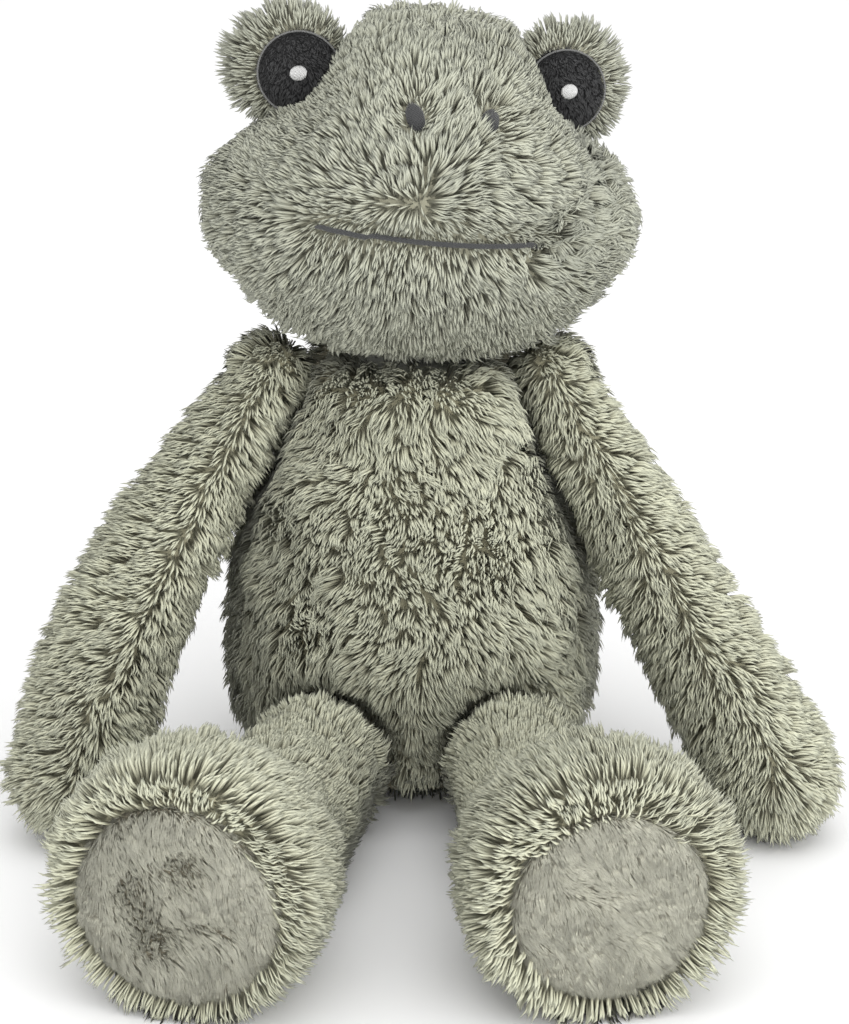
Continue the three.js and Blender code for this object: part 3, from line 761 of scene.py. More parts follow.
# planes that cut a form into panels, each as a place and the direction that is cut away
belly_side, back_side = ((0, FRONT_CUT, 0), (0, 1, 0)), ((0, FRONT_CUT, 0), (0, -1, 0))
left_side, right_side = ((0, 0, 0), (1, 0, 0)), ((0, 0, 0), (-1, 0, 0))
over_seat, under_seat = ((0, 0, SEAT_CUT), (0, 0, -1)), ((0, 0, SEAT_CUT), (0, 0, 1))
body_skin = closed_mesh("body_form", seated(body_rings, "torso"))
body_form = stuffed(body_skin, [belly_side, under_seat], body_room)


def thinned(n):
    """How dense the pile is: half as dense where the cloth faces the floor."""
    return np.where(n[:, 2] < -0.6, 0.5, 1.0)


# where the belly's pile turns outwards over the legs, and hangs long under the chin: height and depth
OVER_LEGS, UNDER_CHIN = (60, -30), (115, 15)
# where the belly's pile stands up most, and over what size
BELLY_BULGE, BULGE_SIZE = (-4, -50, 75), (40, 60, 40)
# where the back's pile lies flat under the head, and the seat's grows longer round its rim
UNDER_NAPE, SEAT_RIM = (120, 12), (4.5, 6)


def belly_lay(p, n):
    """How the belly's pile lies: sideways and down, and swirled where it sticks out most."""
    side = p[:, :1] / (BODY_WIDE / MM)
    low = past(p[:, 2:], *OVER_LEGS)
    flow = np.hstack([(0.25 + 0.8 * low) * side, -0.7 + 0 * side, -1 + 0 * side])
    stand = 0.15 + 0.4 * bump_at(p, BELLY_BULGE, BULGE_SIZE)
    hang = 0.6 * past(p[:, 2], *UNDER_CHIN)
    return {"flow": unit(flow), "stand": stand, "cover": thinned(n), "hang": hang}


def back_lay(p, n):
    """How the back's pile lies: down and away from the centre seam."""
    side = np.sign(p[:, :1])
    flow = np.hstack([0.5 * side, 0 * side, -1 + 0 * side])
    high = past(p[:, 2], *UNDER_NAPE)
    return {"flow": flow, "pile": 1 - 0.3 * high, "stand": 0.1 * (1 - high), "cover": thinned(n)}


def seat_lay(p, n):
    """How the seat's pile lies: outwards and short, pressed by the floor."""
    flow = p.copy()
    flow[:, 2] = 0
    rim = past(p[:, 2], *SEAT_RIM)
    return {"flow": unit(flow), "pile": 0.55 + 0.3 * rim, "cover": 0.3 + 0.6 * rim}


BELLY_BRUSHED = {
    "Tufts": 1300000.0, "Swirl": 1.0, "Swirl Size": 24 * MM, "Lock Turn": 0.55, "Lock Pull": 0.28,
}
BACK_BRUSHED = {"Tufts": 1000000.0, "Swirl": 0.3}
for name, node, look, planes, lay, seed, brushed in (
    ("belly", "belly_panel", FLUFFY, [belly_side, over_seat], belly_lay, 1, BELLY_BRUSHED),
    ("back_left", "back_panel_left", SHADED_BACK, [back_side, over_seat, left_side], back_lay, 2, BACK_BRUSHED),
    ("back_right", "back_panel_right", SHADED_BACK, [back_side, over_seat, right_side], back_lay, 3, BACK_BRUSHED),
    ("seat", "seat_panel", SHADED_BACK, [under_seat], seat_lay, 4, BACK_BRUSHED),
):
    pelt("fur_" + name, node, "torso", look, body_form, planes, lay, body_room, seed, **brushed)

# Filling
# Loose white polyester fibre fills every hollow bag of the toy, and a thin cloth bag of plastic
# pellets weighs down the seat. Pads of the same fibre are gathered in the shoulders and hips.


def make_fibre_group():
    """A pale colour with a fine unevenness of its own."""
    group, given, out = new_group("Uneven fibre", ("Fibre",), {"Fineness": 400}, ("Color", "Height"))
    place = add(group, "ShaderNodeTexCoord", out="Object")
    grain = add(group, "ShaderNodeTexNoise", {"Vector": place, "Scale": given["Fineness"], "Detail": 4.0})
    shade = plus(0.85, times(grain, 0.25))
    group.links.new(scaled(given["Fibre"], shade), out["Color"])
    group.links.new(grain, out["Height"])
    return group


UNEVEN_FIBRE = make_fibre_group()


def fill_material(name, color, fineness, depth):
    """A pale matt filling."""
    values = {"Fibre": (*color, 1), "Fineness": fineness}
    material, shader = matt_material(name, UNEVEN_FIBRE, values, bump=0.6, depth=depth, sheen=0.3)
    shader.inputs["Roughness"].default_value = 0.95
    return material


FIBRE = fill_material("white stuffing fibre", (0.84, 0.82, 0.77), 420, 0.6 * MM)
PELLET_CLOTH = fill_material("thin cloth over pellets", (0.68, 0.62, 0.53), 300, 0.8 * MM)
FILL_GRAIN = 2.5 * MM
LUMP_WAVES = (900, 800, 850)


def filling(node, body, material, lump):
    """A lumpy bag of filling in the space of its CAD node."""
    source = bmesh.new()
    source.from_mesh(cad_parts[node].data)
    bmesh.ops.remove_doubles(source, verts=source.verts, dist=1e-6)
    mesh = bpy.data.meshes.new("fill_" + node)
    source.to_mesh(mesh)
    source.free()
    piece = new_object("fill_" + node, mesh)
    remesh = piece.modifiers.new("even", "REMESH")
    remesh.mode = "VOXEL"
    remesh.voxel_size = FILL_GRAIN
    smooth = piece.modifiers.new("soft", "SMOOTH")
    smooth.iterations = 4
    made = plain_mesh(piece)
    piece.modifiers.clear()
    piece.data = made
    for v in made.vertices:
        wave = math.prod(math.sin(v.co[i] * LUMP_WAVES[i] + i) for i in range(3))
        v.co -= v.normal * lump * (0.5 + 0.5 * wave)
    for face in made.polygons:
        face.use_smooth = True
    made.materials.clear()
    made.materials.append(material)
    dress(piece, node, body)


def tuck(name, form, under=1.5 * MM):
    """Draws a filling in wherever the cloth round it has been drawn in further."""
    round_it = faces_of(form)
    for v in bpy.data.objects["fill_" + name].data.vertices:
        spot, out = round_it.find_nearest(v.co)[:2]
        v.co -= out * max(0, under - (spot - v.co).dot(out))


filling("body_stuffing", "torso", FIBRE, 0.6 * MM)
filling("pellet_bag", "torso", PELLET_CLOTH, 0.5 * MM)
filling("head_stuffing", "head", FIBRE, 0.6 * MM)
for side in ("left", "right"):
    filling("arm_stuffing_" + side, "arm_" + side, FIBRE, 0.5 * MM)
    filling("shoulder_wad_" + side, "shoulder_" + side, FIBRE, 0.3 * MM)
    filling("leg_stuffing_" + side, "leg_" + side, FIBRE, 0.5 * MM)
    filling("foot_stuffing_" + side, "leg_" + side, FIBRE, 0.5 * MM)
    filling("hip_wad_" + side, "hip_" + side, FIBRE, 0.3 * MM)
tuck("body_stuffing", body_form)

# Neck
# The head is sewn to the body on a small disc of the same cloth. Its edge is gathered in pleats, and
# most of it hides between the pile of the head and the pile of the body.

NECK_FORWARD, NECK_TOP, NECK_RADIUS, NECK_THICK = 8 * MM, 134.5 * MM, 20 * MM, 5 * MM
NECK_GAP = 0.2 * MM
PLEATS, PLEAT_DEPTH, PLEAT_START = 26, 0.05, 0.8
turn = 2 * np.pi * np.arange(PLEATS * 6) / (PLEATS * 6)
neck_rings = []
# shares of the radius, and of the way down, round the disc's section
NECK_SHARES = [
    (0, 0), (0.45, 0.08), (0.8, 0), (0.97, 0.2), (0.99, 0.5), (0.96, 0.8), (0.8, 1), (0.45, 0.92), (0, 1),
]
for share, drop in NECK_SHARES:
    pleat = 1 - PLEAT_DEPTH * min(1, share / PLEAT_START) ** 2 * (1 - np.cos(PLEATS * turn)) / 2
    radius = share * NECK_RADIUS * pleat
    height = NECK_TOP - NECK_GAP - (NECK_THICK - 2 * NECK_GAP) * drop + 0 * turn
    ring = [radius * np.cos(turn), radius * np.sin(turn) - NECK_FORWARD, height]
    neck_rings.append(np.stack(ring, axis=-1))
neck_mesh = closed_mesh("gathered_neck", np.array(neck_rings[::-1]))
neck_piece = new_object("gathered_neck", neck_mesh)
for face in neck_mesh.polygons:
    face.use_smooth = True
neck_mesh.materials.append(fill_material("gathered green cloth", (0.30, 0.31, 0.23), 500, 0.4 * MM))
dress(neck_piece, "neck_seam", "neck")

# Head
# Four panels of the same pile fabric, a face, a chin and two backs, are sewn round a wide soft ball.
# The pile runs down from the crown and fans out from a whorl above the mouth.

HEAD_WIDE, HEAD_HIGH, HEAD_DEEP = 66 * MM, 51.5 * MM, 48 * MM
HEAD_CENTRE = Vector((4, -10, 188.3)) * MM
HEAD_PLACE = (
    Matrix.Translation(HEAD_CENTRE)
    @ Matrix.Rotation(math.radians(8), 4, "Z")
    @ Matrix.Rotation(math.radians(5.5), 4, "Y")
)
HEAD_ROWS = [
    (-1, 0, 0, 0),
    (-0.917, 0.41, 0.42, 0),
    (-0.8, 0.64, 0.65, 0.01),
    (-0.65, 0.78, 0.82, 0.02),
    (-0.445, 0.94, 0.955, 0.03),
    (-0.2, 1, 1, 0.04),
    (0.045, 0.955, 0.99, 0.05),
    (0.29, 0.79, 0.93, 0.07),
    (0.56, 0.545, 0.79, 0.07),
    (0.8, 0.43, 0.6, 0.04),
    (0.96, 0.28, 0.35, 0.01),
    (1, 0, 0, 0),
]
MOUTH_LOW, MOUTH_SIDE, MOUTH_LONG = -6.6, -3.4, 30.6
EYE_PLACE = Vector((HEAD_WIDE * 0.615, HEAD_DEEP * 0.27, HEAD_HIGH * 0.565))
WHORL, HEAD_FRONT = [(-14, 4), (-8, 5)], 46
NOSTRIL_SIDE, NOSTRIL_UP, NOSTRIL_LIFT, NOSTRIL_SWELL = 10.6, 26.5, 2.4, 4.5
SIDE_SEAM = 5
CHEEK, CHEEK_SIZE, CHEEK_DRAWN_IN = (62, 0, -22), (22, 60, 15), 3
# lines across the face, as side and height of their points, with their width and depth
CREASES = [
    ([(-34, -6.6), (27.2, -6.6)], 3.2, 0.6),
    ([(-35, -6.2), (-46, -2), (-56, 4)], 4.5, 1.5),
    ([(28, -6.4), (36, -6), (42, 2), (46, 15)], 4.5, 1.7),
    ([(-10.8, 19), (-11.2, 9)], 2.2, 2.0),
    ([(10.4, 33), (9.6, 40)], 2.2, 1.8),
]


def placed(rings, place):
    """Rings moved by a matrix."""
    turn, shift = np.array(place.to_3x3()), np.array(place.translation)
    return rings @ turn.T + shift


def head_view(p):
    """Places in the row frame as seen from the head's own centre, in millimetres."""
    turn, shift = np.array(HEAD_PLACE.to_3x3()), np.array(HEAD_PLACE.translation) / MM
    return (p - shift) @ turn


def off_line(q, line):
    """Which way and how far places lie from a line across the face, as seen from the front."""
    line = np.array(line, float)
    nearest = np.full((*q.shape[:-1], 2), 1e6)
    for a, b in zip(line, line[1:]):
        away = q[..., [0, 2]] - a
        share = np.clip((away @ (b - a)) / ((b - a) @ (b - a)), 0, 1)
        away = away - share[..., None] * (b - a)
        closer = np.linalg.norm(away, axis=-1) < np.linalg.norm(nearest, axis=-1)
        nearest = np.where(closer[..., None], away, nearest)
    return nearest, np.linalg.norm(nearest, axis=-1)


def head_plane(spot, away):
    """A plane given in the head's own view, as a place and its outward direction."""
    return (HEAD_PLACE @ (Vector(spot) * MM), HEAD_PLACE.to_3x3() @ Vector(away))


head_rings = placed(upright_rings(HEAD_ROWS, 0, HEAD_HIGH, HEAD_WIDE, HEAD_DEEP), HEAD_PLACE)
head_skin = seated(head_rings, "head")
own = head_view(head_skin / MM)
crease, seen = np.zeros(own.shape[:2]), own[..., 1] < 0
for line, wide, deep in CREASES:
    crease = np.maximum(crease, deep * np.exp(-((off_line(own, line)[1] / wide) ** 2)) * seen)
for sign in (-1, 1):
    nostril = (sign * NOSTRIL_SIDE, NOSTRIL_UP)
    crease -= NOSTRIL_LIFT * bump_at(own[..., [0, 2]], nostril, NOSTRIL_SWELL) * seen
crease += CHEEK_DRAWN_IN * bump_at(own, CHEEK, CHEEK_SIZE)
head_skin -= facing(head_skin) * crease[..., None] * MM
head_room = room("head")
side_seam = (0, SIDE_SEAM, 0)
front_half, back_half = head_plane(side_seam, (0, 1, 0)), head_plane(side_seam, (0, -1, 0))
head_form = stuffed(closed_mesh("head_form", head_skin), [front_half], head_room)
tuck("head_stuffing", head_form)


# how far back the pile of the head turns downwards, and below what height the chin's hangs long
TURNS_DOWN, CHIN_HANGS = (-5, 30), (-30, -8)
# how far round the whorl the pile waves, how far from a cheek's crease it parts, and how far from the
# right one it is tangled, dense and standing
WAVED, PARTED, TANGLED = 16, 8, 7
# how far below and above the mouth its pile is short, and how far it is pushed down
SHORT_BELOW, SHORT_ABOVE, PUSHED = 8, 13, 9
# the clearing in the pile round a nostril: its half width, and its reach up and down
CLEARING, CLEARING_UP, CLEARING_DOWN = 3.2, 4.0, 7.0
# the size of the short pile round an eye, and where the chin's pile stands and thins out on the neck
ROUND_EYE, CHIN, CHIN_SIZE, NECK_BELOW = (20, 60, 20), (-4, -30, -32), (40, 30, 12), -46


def head_lay(p, n):
    """How the head's pile lies: out from the whorl in front and down behind, short at the mouth."""
    q = head_view(p)
    turn = np.array(HEAD_PLACE.to_3x3())
    behind = past(q[:, 1:2], *TURNS_DOWN)
    hang = past(q[:, 2], *CHIN_HANGS) * (q[:, 1] < 0)
    away, far = off_line(q, WHORL)
    bend = 0.7 * np.exp(-((far / WAVED) ** 2)) * np.sin(q[:, 0] * 0.5 + 1) * np.cos(q[:, 2] * 0.37)
    from_front = q[:, 1] + HEAD_FRONT
    away = np.stack([away[:, 0] + bend * away[:, 1], from_front, away[:, 1] - bend * away[:, 0]], axis=-1)
    flow = unit(away) * (1 - behind) + np.array([0, 0.2, -1]) * behind
    for line, *_ in CREASES[1:3]:
        away, far = off_line(q, line)
        parted = 0.6 * np.exp(-((far / PARTED) ** 2))[:, None] * (q[:, 1:2] < 0)
        flow = flow + parted * unit(np.stack([away[:, 0], 0 * far, away[:, 1]], axis=-1))
    right_crease = np.exp(-((far / TANGLED) ** 2)) * (q[:, 1] < 0)
    gap = np.abs(q[:, 2] - MOUTH_LOW)
    at_mouth = (np.abs(q[:, 0] - MOUTH_SIDE) < MOUTH_LONG + 3) & (q[:, 1] < 0)
    under = q[:, 2] < MOUTH_LOW
    flow = flow + np.where(at_mouth & under, 1.5 * np.exp(-gap / PUSHED), 0)[:, None] * np.array([0, 0, -1])
    short = np.where(at_mouth & under, np.clip(0.3 + gap / SHORT_BELOW, 0, 1), 1)
    short = np.where(at_mouth & ~under, np.clip(0.15 + gap / SHORT_ABOVE, 0, 1), short)
    for side in (-1, 1):
        beside = q[:, [0, 2]] - (side * NOSTRIL_SIDE, NOSTRIL_UP)
        reach = np.where(beside[:, 1] > 0, CLEARING_UP, CLEARING_DOWN)
        hole = np.hypot(beside[:, 0] / CLEARING, beside[:, 1] / reach)
        short = np.where((hole < 1.6) & (q[:, 1] < 0), short * np.clip(1.5 * hole - 0.95, 0.15, 1), short)
        parted = 1.4 * np.exp(-((hole / 1.8) ** 2))[:, None] * (q[:, 1:2] < 0)
        flow = flow + parted * unit(np.stack([beside[:, 0], 0 * hole, 0.5 * beside[:, 1]], axis=-1))
        eye = (side * EYE_PLACE.x / MM, 0, EYE_PLACE.z / MM)
        short = short * (1 - 0.5 * bump_at(q, eye, ROUND_EYE))
    stand = 0.6 * right_crease + 0.2 * bump_at(q, CHIN, CHIN_SIZE)
    short = short * (1 + 0.3 * hang)
    cover = np.where(q[:, 2] < NECK_BELOW, 0.7, 1 + 1.4 * right_crease)
    whole = {"flow": flow @ turn.T, "pile": short, "stand": stand}
    return {**whole, "mess": right_crease, "cover": cover, "hang": hang}


HEAD_BRUSHED = {"Swirl": 0.35, "Swirl Size": 20 * MM, "Rise": 0.43, "Reach": 0.7}
left_half, right_half = head_plane((0, 0, 0), (1, 0, 0)), head_plane((0, 0, 0), (-1, 0, 0))
over_mouth = head_plane((0, 0, MOUTH_LOW), (0, 0, -1))
under_mouth = head_plane((0, 0, MOUTH_LOW), (0, 0, 1))
for name, node, look, planes, seed in (
    ("face", "face_panel", FACE, [front_half, over_mouth], 11),
    ("chin", "chin_panel", FACE, [front_half, under_mouth], 12),
    ("nape_left", "head_back_left", SHADED_BACK, [back_half, left_half], 13),
    ("nape_right", "head_back_right", SHADED_BACK, [back_half, right_half], 14),
):
    pelt("fur_" + name, node, "head", look, head_form, planes, head_lay, head_room, seed, **HEAD_BRUSHED)

# Mouth and nostrils
# The mouth is one line of thick dark grey yarn, stitched along the seam of face and chin. Each nostril
# is a small oval of dark thread, sewn in satin stitch through the pile.


def stitch_grain(tree):
    """One stitch as a small round-ended grain."""
    return add(tree, "GeometryNodeMeshUVSphere", {"Segments": 6, "Rings": 5, "Radius": 1.0})


def make_line_tree():
    """Sews slanting stitches along a line, so close that they read as one twisted thread."""
    sizes = {"Spacing": 1.2 * MM, "Stitch": 1.4 * MM, "Thread": 0.7 * MM, "Slant": 0.4}
    tree, given = new_tree("Stitched line", sizes, {})
    line = add(tree, "GeometryNodeMeshToCurve", {"Mesh": given["Base"]})
    line = add(tree, "GeometryNodeResampleCurve", {"Curve": line, "Length": given["Spacing"]}, mode="LENGTH")
    up = add(tree, "GeometryNodeInputNamedAttribute", {"Name": "up"}, data_type="FLOAT_VECTOR")
    way = add(
        tree,
        "ShaderNodeVectorRotate",
        {"Vector": add(tree, "GeometryNodeInputTangent"), "Axis": up, "Angle": given["Slant"]},
        rotation_type="AXIS_ANGLE",
    )
    turned = add(
        tree,
        "FunctionNodeAxesToRotation",
        {"Primary Axis": way, "Secondary Axis": up},
        primary_axis="Z",
        secondary_axis="X",
    )
    size = add(tree, "ShaderNodeCombineXYZ", {0: given["Thread"], 1: given["Thread"], 2: given["Stitch"]})
    sewn = add(
        tree,
        "GeometryNodeInstanceOnPoints",
        {"Points": line, "Instance": stitch_grain(tree), "Rotation": turned, "Scale": size},
    )
    sewn = add(tree, "GeometryNodeRealizeInstances", {"Geometry": sewn})
    return made_of(sewn, given)


def make_satin_tree():
    """Sews upright stitches side by side into a domed oval that faces -Y."""
    sizes = {"Half Width": 2 * MM, "Half Height": 4 * MM, "Thread": 0.3 * MM, "Depth": 1 * MM}
    sizes = {**sizes, "Crown": 0.6 * MM, "Slant": 0.3}
    tree, given = new_tree("Satin oval", sizes, {"Stitches": 12})
    wide, high = given["Half Width"], given["Half Height"]
    inside = minus(wide, times(given["Thread"], 0.8))
    row = add(
        tree,
        "GeometryNodeMeshLine",
        {
            "Count": given["Stitches"],
            "Start Location": add(tree, "ShaderNodeCombineXYZ", {0: times(inside, -1.0)}),
            "Offset": add(tree, "ShaderNodeCombineXYZ", {0: inside}),
        },
        mode="END_POINTS",
    )
    place = add(tree, "GeometryNodeInputPosition")
    x, z = split(place)[::2]
    square = lambda a, b: number("POWER", number("ABSOLUTE", number("DIVIDE", a, b)), 2.0)
    left = minus(1.0, times(square(x, wide), 0.93))
    long = times(high, number("SQRT", left))
    size = add(tree, "ShaderNodeCombineXYZ", {0: given["Thread"], 1: given["Depth"], 2: long})
    stitches = {"Points": row, "Instance": stitch_grain(tree), "Scale": size}
    sewn = add(tree, "GeometryNodeInstanceOnPoints", stitches)
    sewn = add(tree, "GeometryNodeRealizeInstances", {"Geometry": sewn})
    back = times(given["Crown"], plus(square(x, wide), square(z, high)))
    shift = add(tree, "ShaderNodeCombineXYZ", {0: times(z, given["Slant"]), 1: back})
    sewn = add(tree, "GeometryNodeSetPosition", {"Geometry": sewn, "Offset": shift})
    return made_of(sewn, given)


LINE_TREE, SATIN_TREE = make_line_tree(), make_satin_tree()


def make_thread_group():
    """Spun thread: fine slanting strands, a little uneven in colour."""
    group, given, out = new_group("Spun thread", ("Thread",), {}, ("Color", "Roughness", "Height"))
    place = add(group, "ShaderNodeTexCoord", out="Object")
    strands = add(
        group,
        "ShaderNodeTexWave",
        {"Vector": place, "Scale": 700.0, "Distortion": 3.0, "Detail": 2.0},
        out=1,
        bands_direction="DIAGONAL",
    )
    fuzz = add(group, "ShaderNodeTexNoise", {"Vector": place, "Scale": 1400.0, "Detail": 3.0})
    uneven = plus(times(strands, 0.35), times(fuzz, 0.4))
    shade = plus(0.62, uneven)
    group.links.new(scaled(given["Thread"], shade), out["Color"])
    group.links.new(plus(0.55, times(fuzz, 0.3)), out["Roughness"])
    group.links.new(plus(strands, fuzz), out["Height"])
    return group


SPUN_THREAD = make_thread_group()


def thread_material(name, color, sheen):
    """A matt thread of one dye."""
    return matt_material(name, SPUN_THREAD, {"Thread": (*color, 1)}, bump=0.5, depth=0.3 * MM, sheen=sheen)[0]


DARK_THREAD = thread_material("dark grey yarn", (0.038, 0.039, 0.04), 0.3)


def line_mesh(name, places, ups):
    """An open line of points, with the direction that faces out of the cloth at each."""
    mesh = bpy.data.meshes.new(name)
    mesh.from_pydata([tuple(p) for p in places], [(i, i + 1) for i in range(len(places) - 1)], [])
    mesh.attributes.new("up", "FLOAT_VECTOR", "POINT").data.foreach_set("vector", np.array(ups).ravel())
    return mesh


def on_face(x, z, lift):
    """The place on the face's cloth at a side and height, in the head's own view, and the outward way."""
    start, way = HEAD_PLACE @ (Vector((x, -90, z)) * MM), HEAD_PLACE.to_3x3() @ Vector((0, 1, 0))
    hit, out = FACE_CLOTH.ray_cast(start, way)[:2]
    return hit + out * lift, out


FACE_CLOTH = faces_of(head_form)
MOUTH_SAG, MOUTH_SLOPE, YARN_LIFT, NOSTRIL_STITCH_LIFT = 1.1, 0.5, 2.2 * MM, 1.1 * MM
mouth_line = []
for t in np.linspace(-1, 1, 41):
    height = MOUTH_LOW - MOUTH_SLOPE * t + MOUTH_SAG * (t * t - 0.6)
    mouth_line.append(on_face(MOUTH_SIDE + t * MOUTH_LONG, height, YARN_LIFT))
mouth = grown(
    "mouth_yarn",
    line_mesh("mouth_line", [p for p, out in mouth_line], [out for p, out in mouth_line]),
    LINE_TREE,
    {"Spacing": 1.3 * MM, "Stitch": 1.9 * MM, "Thread": 0.6 * MM, "Slant": 0.32, "Material": DARK_THREAD},
)
dress(mouth, "mouth_thread", "head")

for side, sign in (("left", -1), ("right", 1)):
    spot, out = on_face(sign * NOSTRIL_SIDE, NOSTRIL_UP, NOSTRIL_STITCH_LIFT)
    nostril = grown(
        "nostril_stitches_" + side,
        bpy.data.meshes.new("nostril_base"),
        SATIN_TREE,
        {
            "Half Width": 2.6 * MM, "Half Height": 4.5 * MM, "Thread": 0.32 * MM, "Depth": 1.0 * MM,
            "Crown": 0.8 * MM, "Slant": sign * 0.22, "Stitches": 13, "Material": DARK_THREAD,
        },
    )
    turned = (-out).to_track_quat("Y", "Z").to_matrix().to_4x4()
    nostril.data.transform(Matrix.Translation(spot) @ turned)
    dress(nostril, "nostril_" + side, "head")

# Eyes
# Two small stuffed domes are sewn on the head. Each carries a charcoal disc of short pile, edged with
# fine stitches, and a small embroidered glint.

EYE_WIDE, EYE_DEEP = 19.5 * MM, 14 * MM
# how far the eyes look outwards and up, in degrees
EYE_OUT, EYE_UP = 12, 8
PATCH_RADIUS, PATCH_INWARD, PATCH_FORWARD, PATCH_DROP = 12 * MM, 3 * MM, 13 * MM, 1.2 * MM
# how far the patch lies off the mound's cloth, how thick it is, and how far back its edge lies
PATCH_LIFT, PATCH_THICK, PATCH_EDGE = 2.6 * MM, 2.0 * MM, 0.6 * MM
GLINT_RADIUS = 2.4 * MM
# the mound has no pile under its patch, and short pile round it, in millimetres
BARE_REACH, SHORT_PILE = 11, (10.5, 8)
CHARCOAL_TONES = (0.036, 0.036, 0.037), (0.062, 0.062, 0.063), (0.098, 0.098, 0.099)
CHARCOAL = pile_material("short charcoal pile", "eye_pile", *CHARCOAL_TONES, 0.5)
GREY_THREAD = thread_material("light grey edging thread", (0.15, 0.15, 0.147), 0.2)
PALE_THREAD = thread_material("pale glint thread", (0.62, 0.62, 0.61), 0.3)
RIM_DEPTH, GLINT_DEPTH = 1.0 * MM, 0.7 * MM
PATCH_SHARES = (0, 0.3, 0.6, 0.85, 0.97)
PATCH_PILE = {
    "Tufts": 5000000.0, "Length": 2.4 * MM, "Thickness": 0.22 * MM, "Bends": 1, "Swirl": 0.6,
    "Lock Spacing": 1.4 * MM, "Swirl Size": 8 * MM,
}
EDGING = {"Spacing": 0.75 * MM, "Stitch": 0.75 * MM, "Thread": 0.2 * MM, "Slant": 0.35}


def on_dome(x, z):
    """How far forward an eye's dome lies at a side and height."""
    return -EYE_DEEP * np.sqrt(1 - (x**2 + z**2) / EYE_WIDE**2)


for side, sign in (("left", -1), ("right", 1)):
    spot = EYE_PLACE.copy()
    spot.x *= sign
    place = HEAD_PLACE @ Matrix.Translation(spot)
    place = place @ Matrix.Rotation(sign * math.radians(EYE_OUT), 4, "Z")
    place = place @ Matrix.Rotation(math.radians(-EYE_UP), 4, "X")
    rings = []
    for tilt in np.radians(np.linspace(180, 0, 37)):
        ring = np.sin(tilt) * EYE_WIDE * circle(np.array([1, 0, 0]), np.array([0, 0, 1]))
        rings.append(ring - (0, np.cos(tilt) * EYE_DEEP, 0))
    dome = placed(np.array(rings), place)
    dome = dome - facing(dome) * PILE_DEPTH * 0.8
    inside = np.array(place.to_3x3())
    origin = np.array(place.translation) / MM
    patch_spot = np.array([-sign * PATCH_INWARD, -PATCH_FORWARD, -PATCH_DROP]) / MM

    def eye_lay(p, n, inside=inside, origin=origin, patch_spot=patch_spot):
        q = (p - origin) @ inside
        away = q - patch_spot
        flow = away @ inside.T
        reach = np.hypot(away[:, 0], away[:, 2])
        edge = past(reach, *SHORT_PILE)
        bare = (reach < BARE_REACH) & (q[:, 1] < 0)
        cover = np.where(bare, 0.0, 1.0)
        return {"flow": unit(flow), "stand": 0.35 * edge, "pile": 0.3 + 0.65 * edge, "cover": cover}

    def patch_lay(p, n, inside=inside):
        flow = np.array([0.3, 0, -1]) + 0 * p
        return {"flow": flow @ inside.T, "stand": 0.2, "cover": np.where((n @ inside)[:, 1] < 0.3, 1.0, 0.0)}

    form, near = closed_mesh("eye_form_" + side, dome), room("eye_" + side)
    mound = "eye_mound_" + side
    pelt("fur_eye_" + side, mound, "head", FACE, form, [], eye_lay, near, 20 + sign, Swirl=0.2)

    rings = []
    for share in PATCH_SHARES + (1,) + PATCH_SHARES[::-1]:
        back = len(rings) < len(PATCH_SHARES)
        x = np.cos(TURN) * share * PATCH_RADIUS - sign * PATCH_INWARD
        z = np.sin(TURN) * share * PATCH_RADIUS - PATCH_DROP
        y = on_dome(x, z) + PILE_DEPTH - PATCH_LIFT
        y += PATCH_THICK if back else (PATCH_EDGE if share == 1 else 0)
        rings.append(np.stack([x, y, z], axis=-1))
    disc = placed(np.array(rings), place)
    form = closed_mesh("patch_form_" + side, disc)
    patch, look = "eye_patch_" + side, CHARCOAL
    pelt("pile_patch_" + side, patch, "head", look, form, [], patch_lay, near, 30 + sign, **PATCH_PILE)
    rim_turn = TURN[np.r_[0:AROUND:2, 0]]
    rim = np.stack([np.cos(rim_turn), 0 * rim_turn, np.sin(rim_turn)], axis=-1) * (PATCH_RADIUS + 0.1 * MM)
    rim += np.array([-sign * PATCH_INWARD, 0, -PATCH_DROP])
    rim[:, 1] = on_dome(rim[:, 0], rim[:, 2]) + RIM_DEPTH
    outward = np.array(place.to_3x3() @ Vector((0, -1, 0)))
    edging = grown(
        "patch_edging_" + side,
        line_mesh("rim_" + side, placed(rim, place), [outward] * len(rim)),
        LINE_TREE,
        {**EDGING, "Material": GREY_THREAD},
    )
    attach(edging, "head")

    glint = grown(
        "glint_stitches_" + side,
        bpy.data.meshes.new("glint_base"),
        SATIN_TREE,
        {
            "Half Width": GLINT_RADIUS, "Half Height": GLINT_RADIUS, "Thread": 0.3 * MM, "Depth": 0.9 * MM,
            "Crown": 0.5 * MM, "Slant": 0.1, "Stitches": 12, "Material": PALE_THREAD,
        },
    )
    glint_side = -sign * PATCH_INWARD
    spot = Vector((glint_side, on_dome(glint_side, -PATCH_DROP) + GLINT_DEPTH, -PATCH_DROP))
    glint.data.transform(place @ Matrix.Translation(spot))
    dress(glint, "eye_glint_" + side, "head")

# Arms
# Each arm is a long soft tube of two panels that widens to a round hand and flops down beside the
# body. Its pile runs down the arm and parts along the front.

# the limbs in millimetres: they lie this much deeper than their round form would on the floor
PRESSED_FLAT = 0.5
ARM_ROOT, ROOT_REACH, HAND = 15.0, 20, 20.5
SHOULDER = np.array([42.75, -6, 127.3])
ARMS = {"left": (-1, 100.5, 61, 7), "right": (1, 108.5, 61, -1.5)}
ARM_SWELL = [(0.07, -0.1), (0.28, 0.15), (0.52, 0.62), (0.78, 1), (1, 1)]


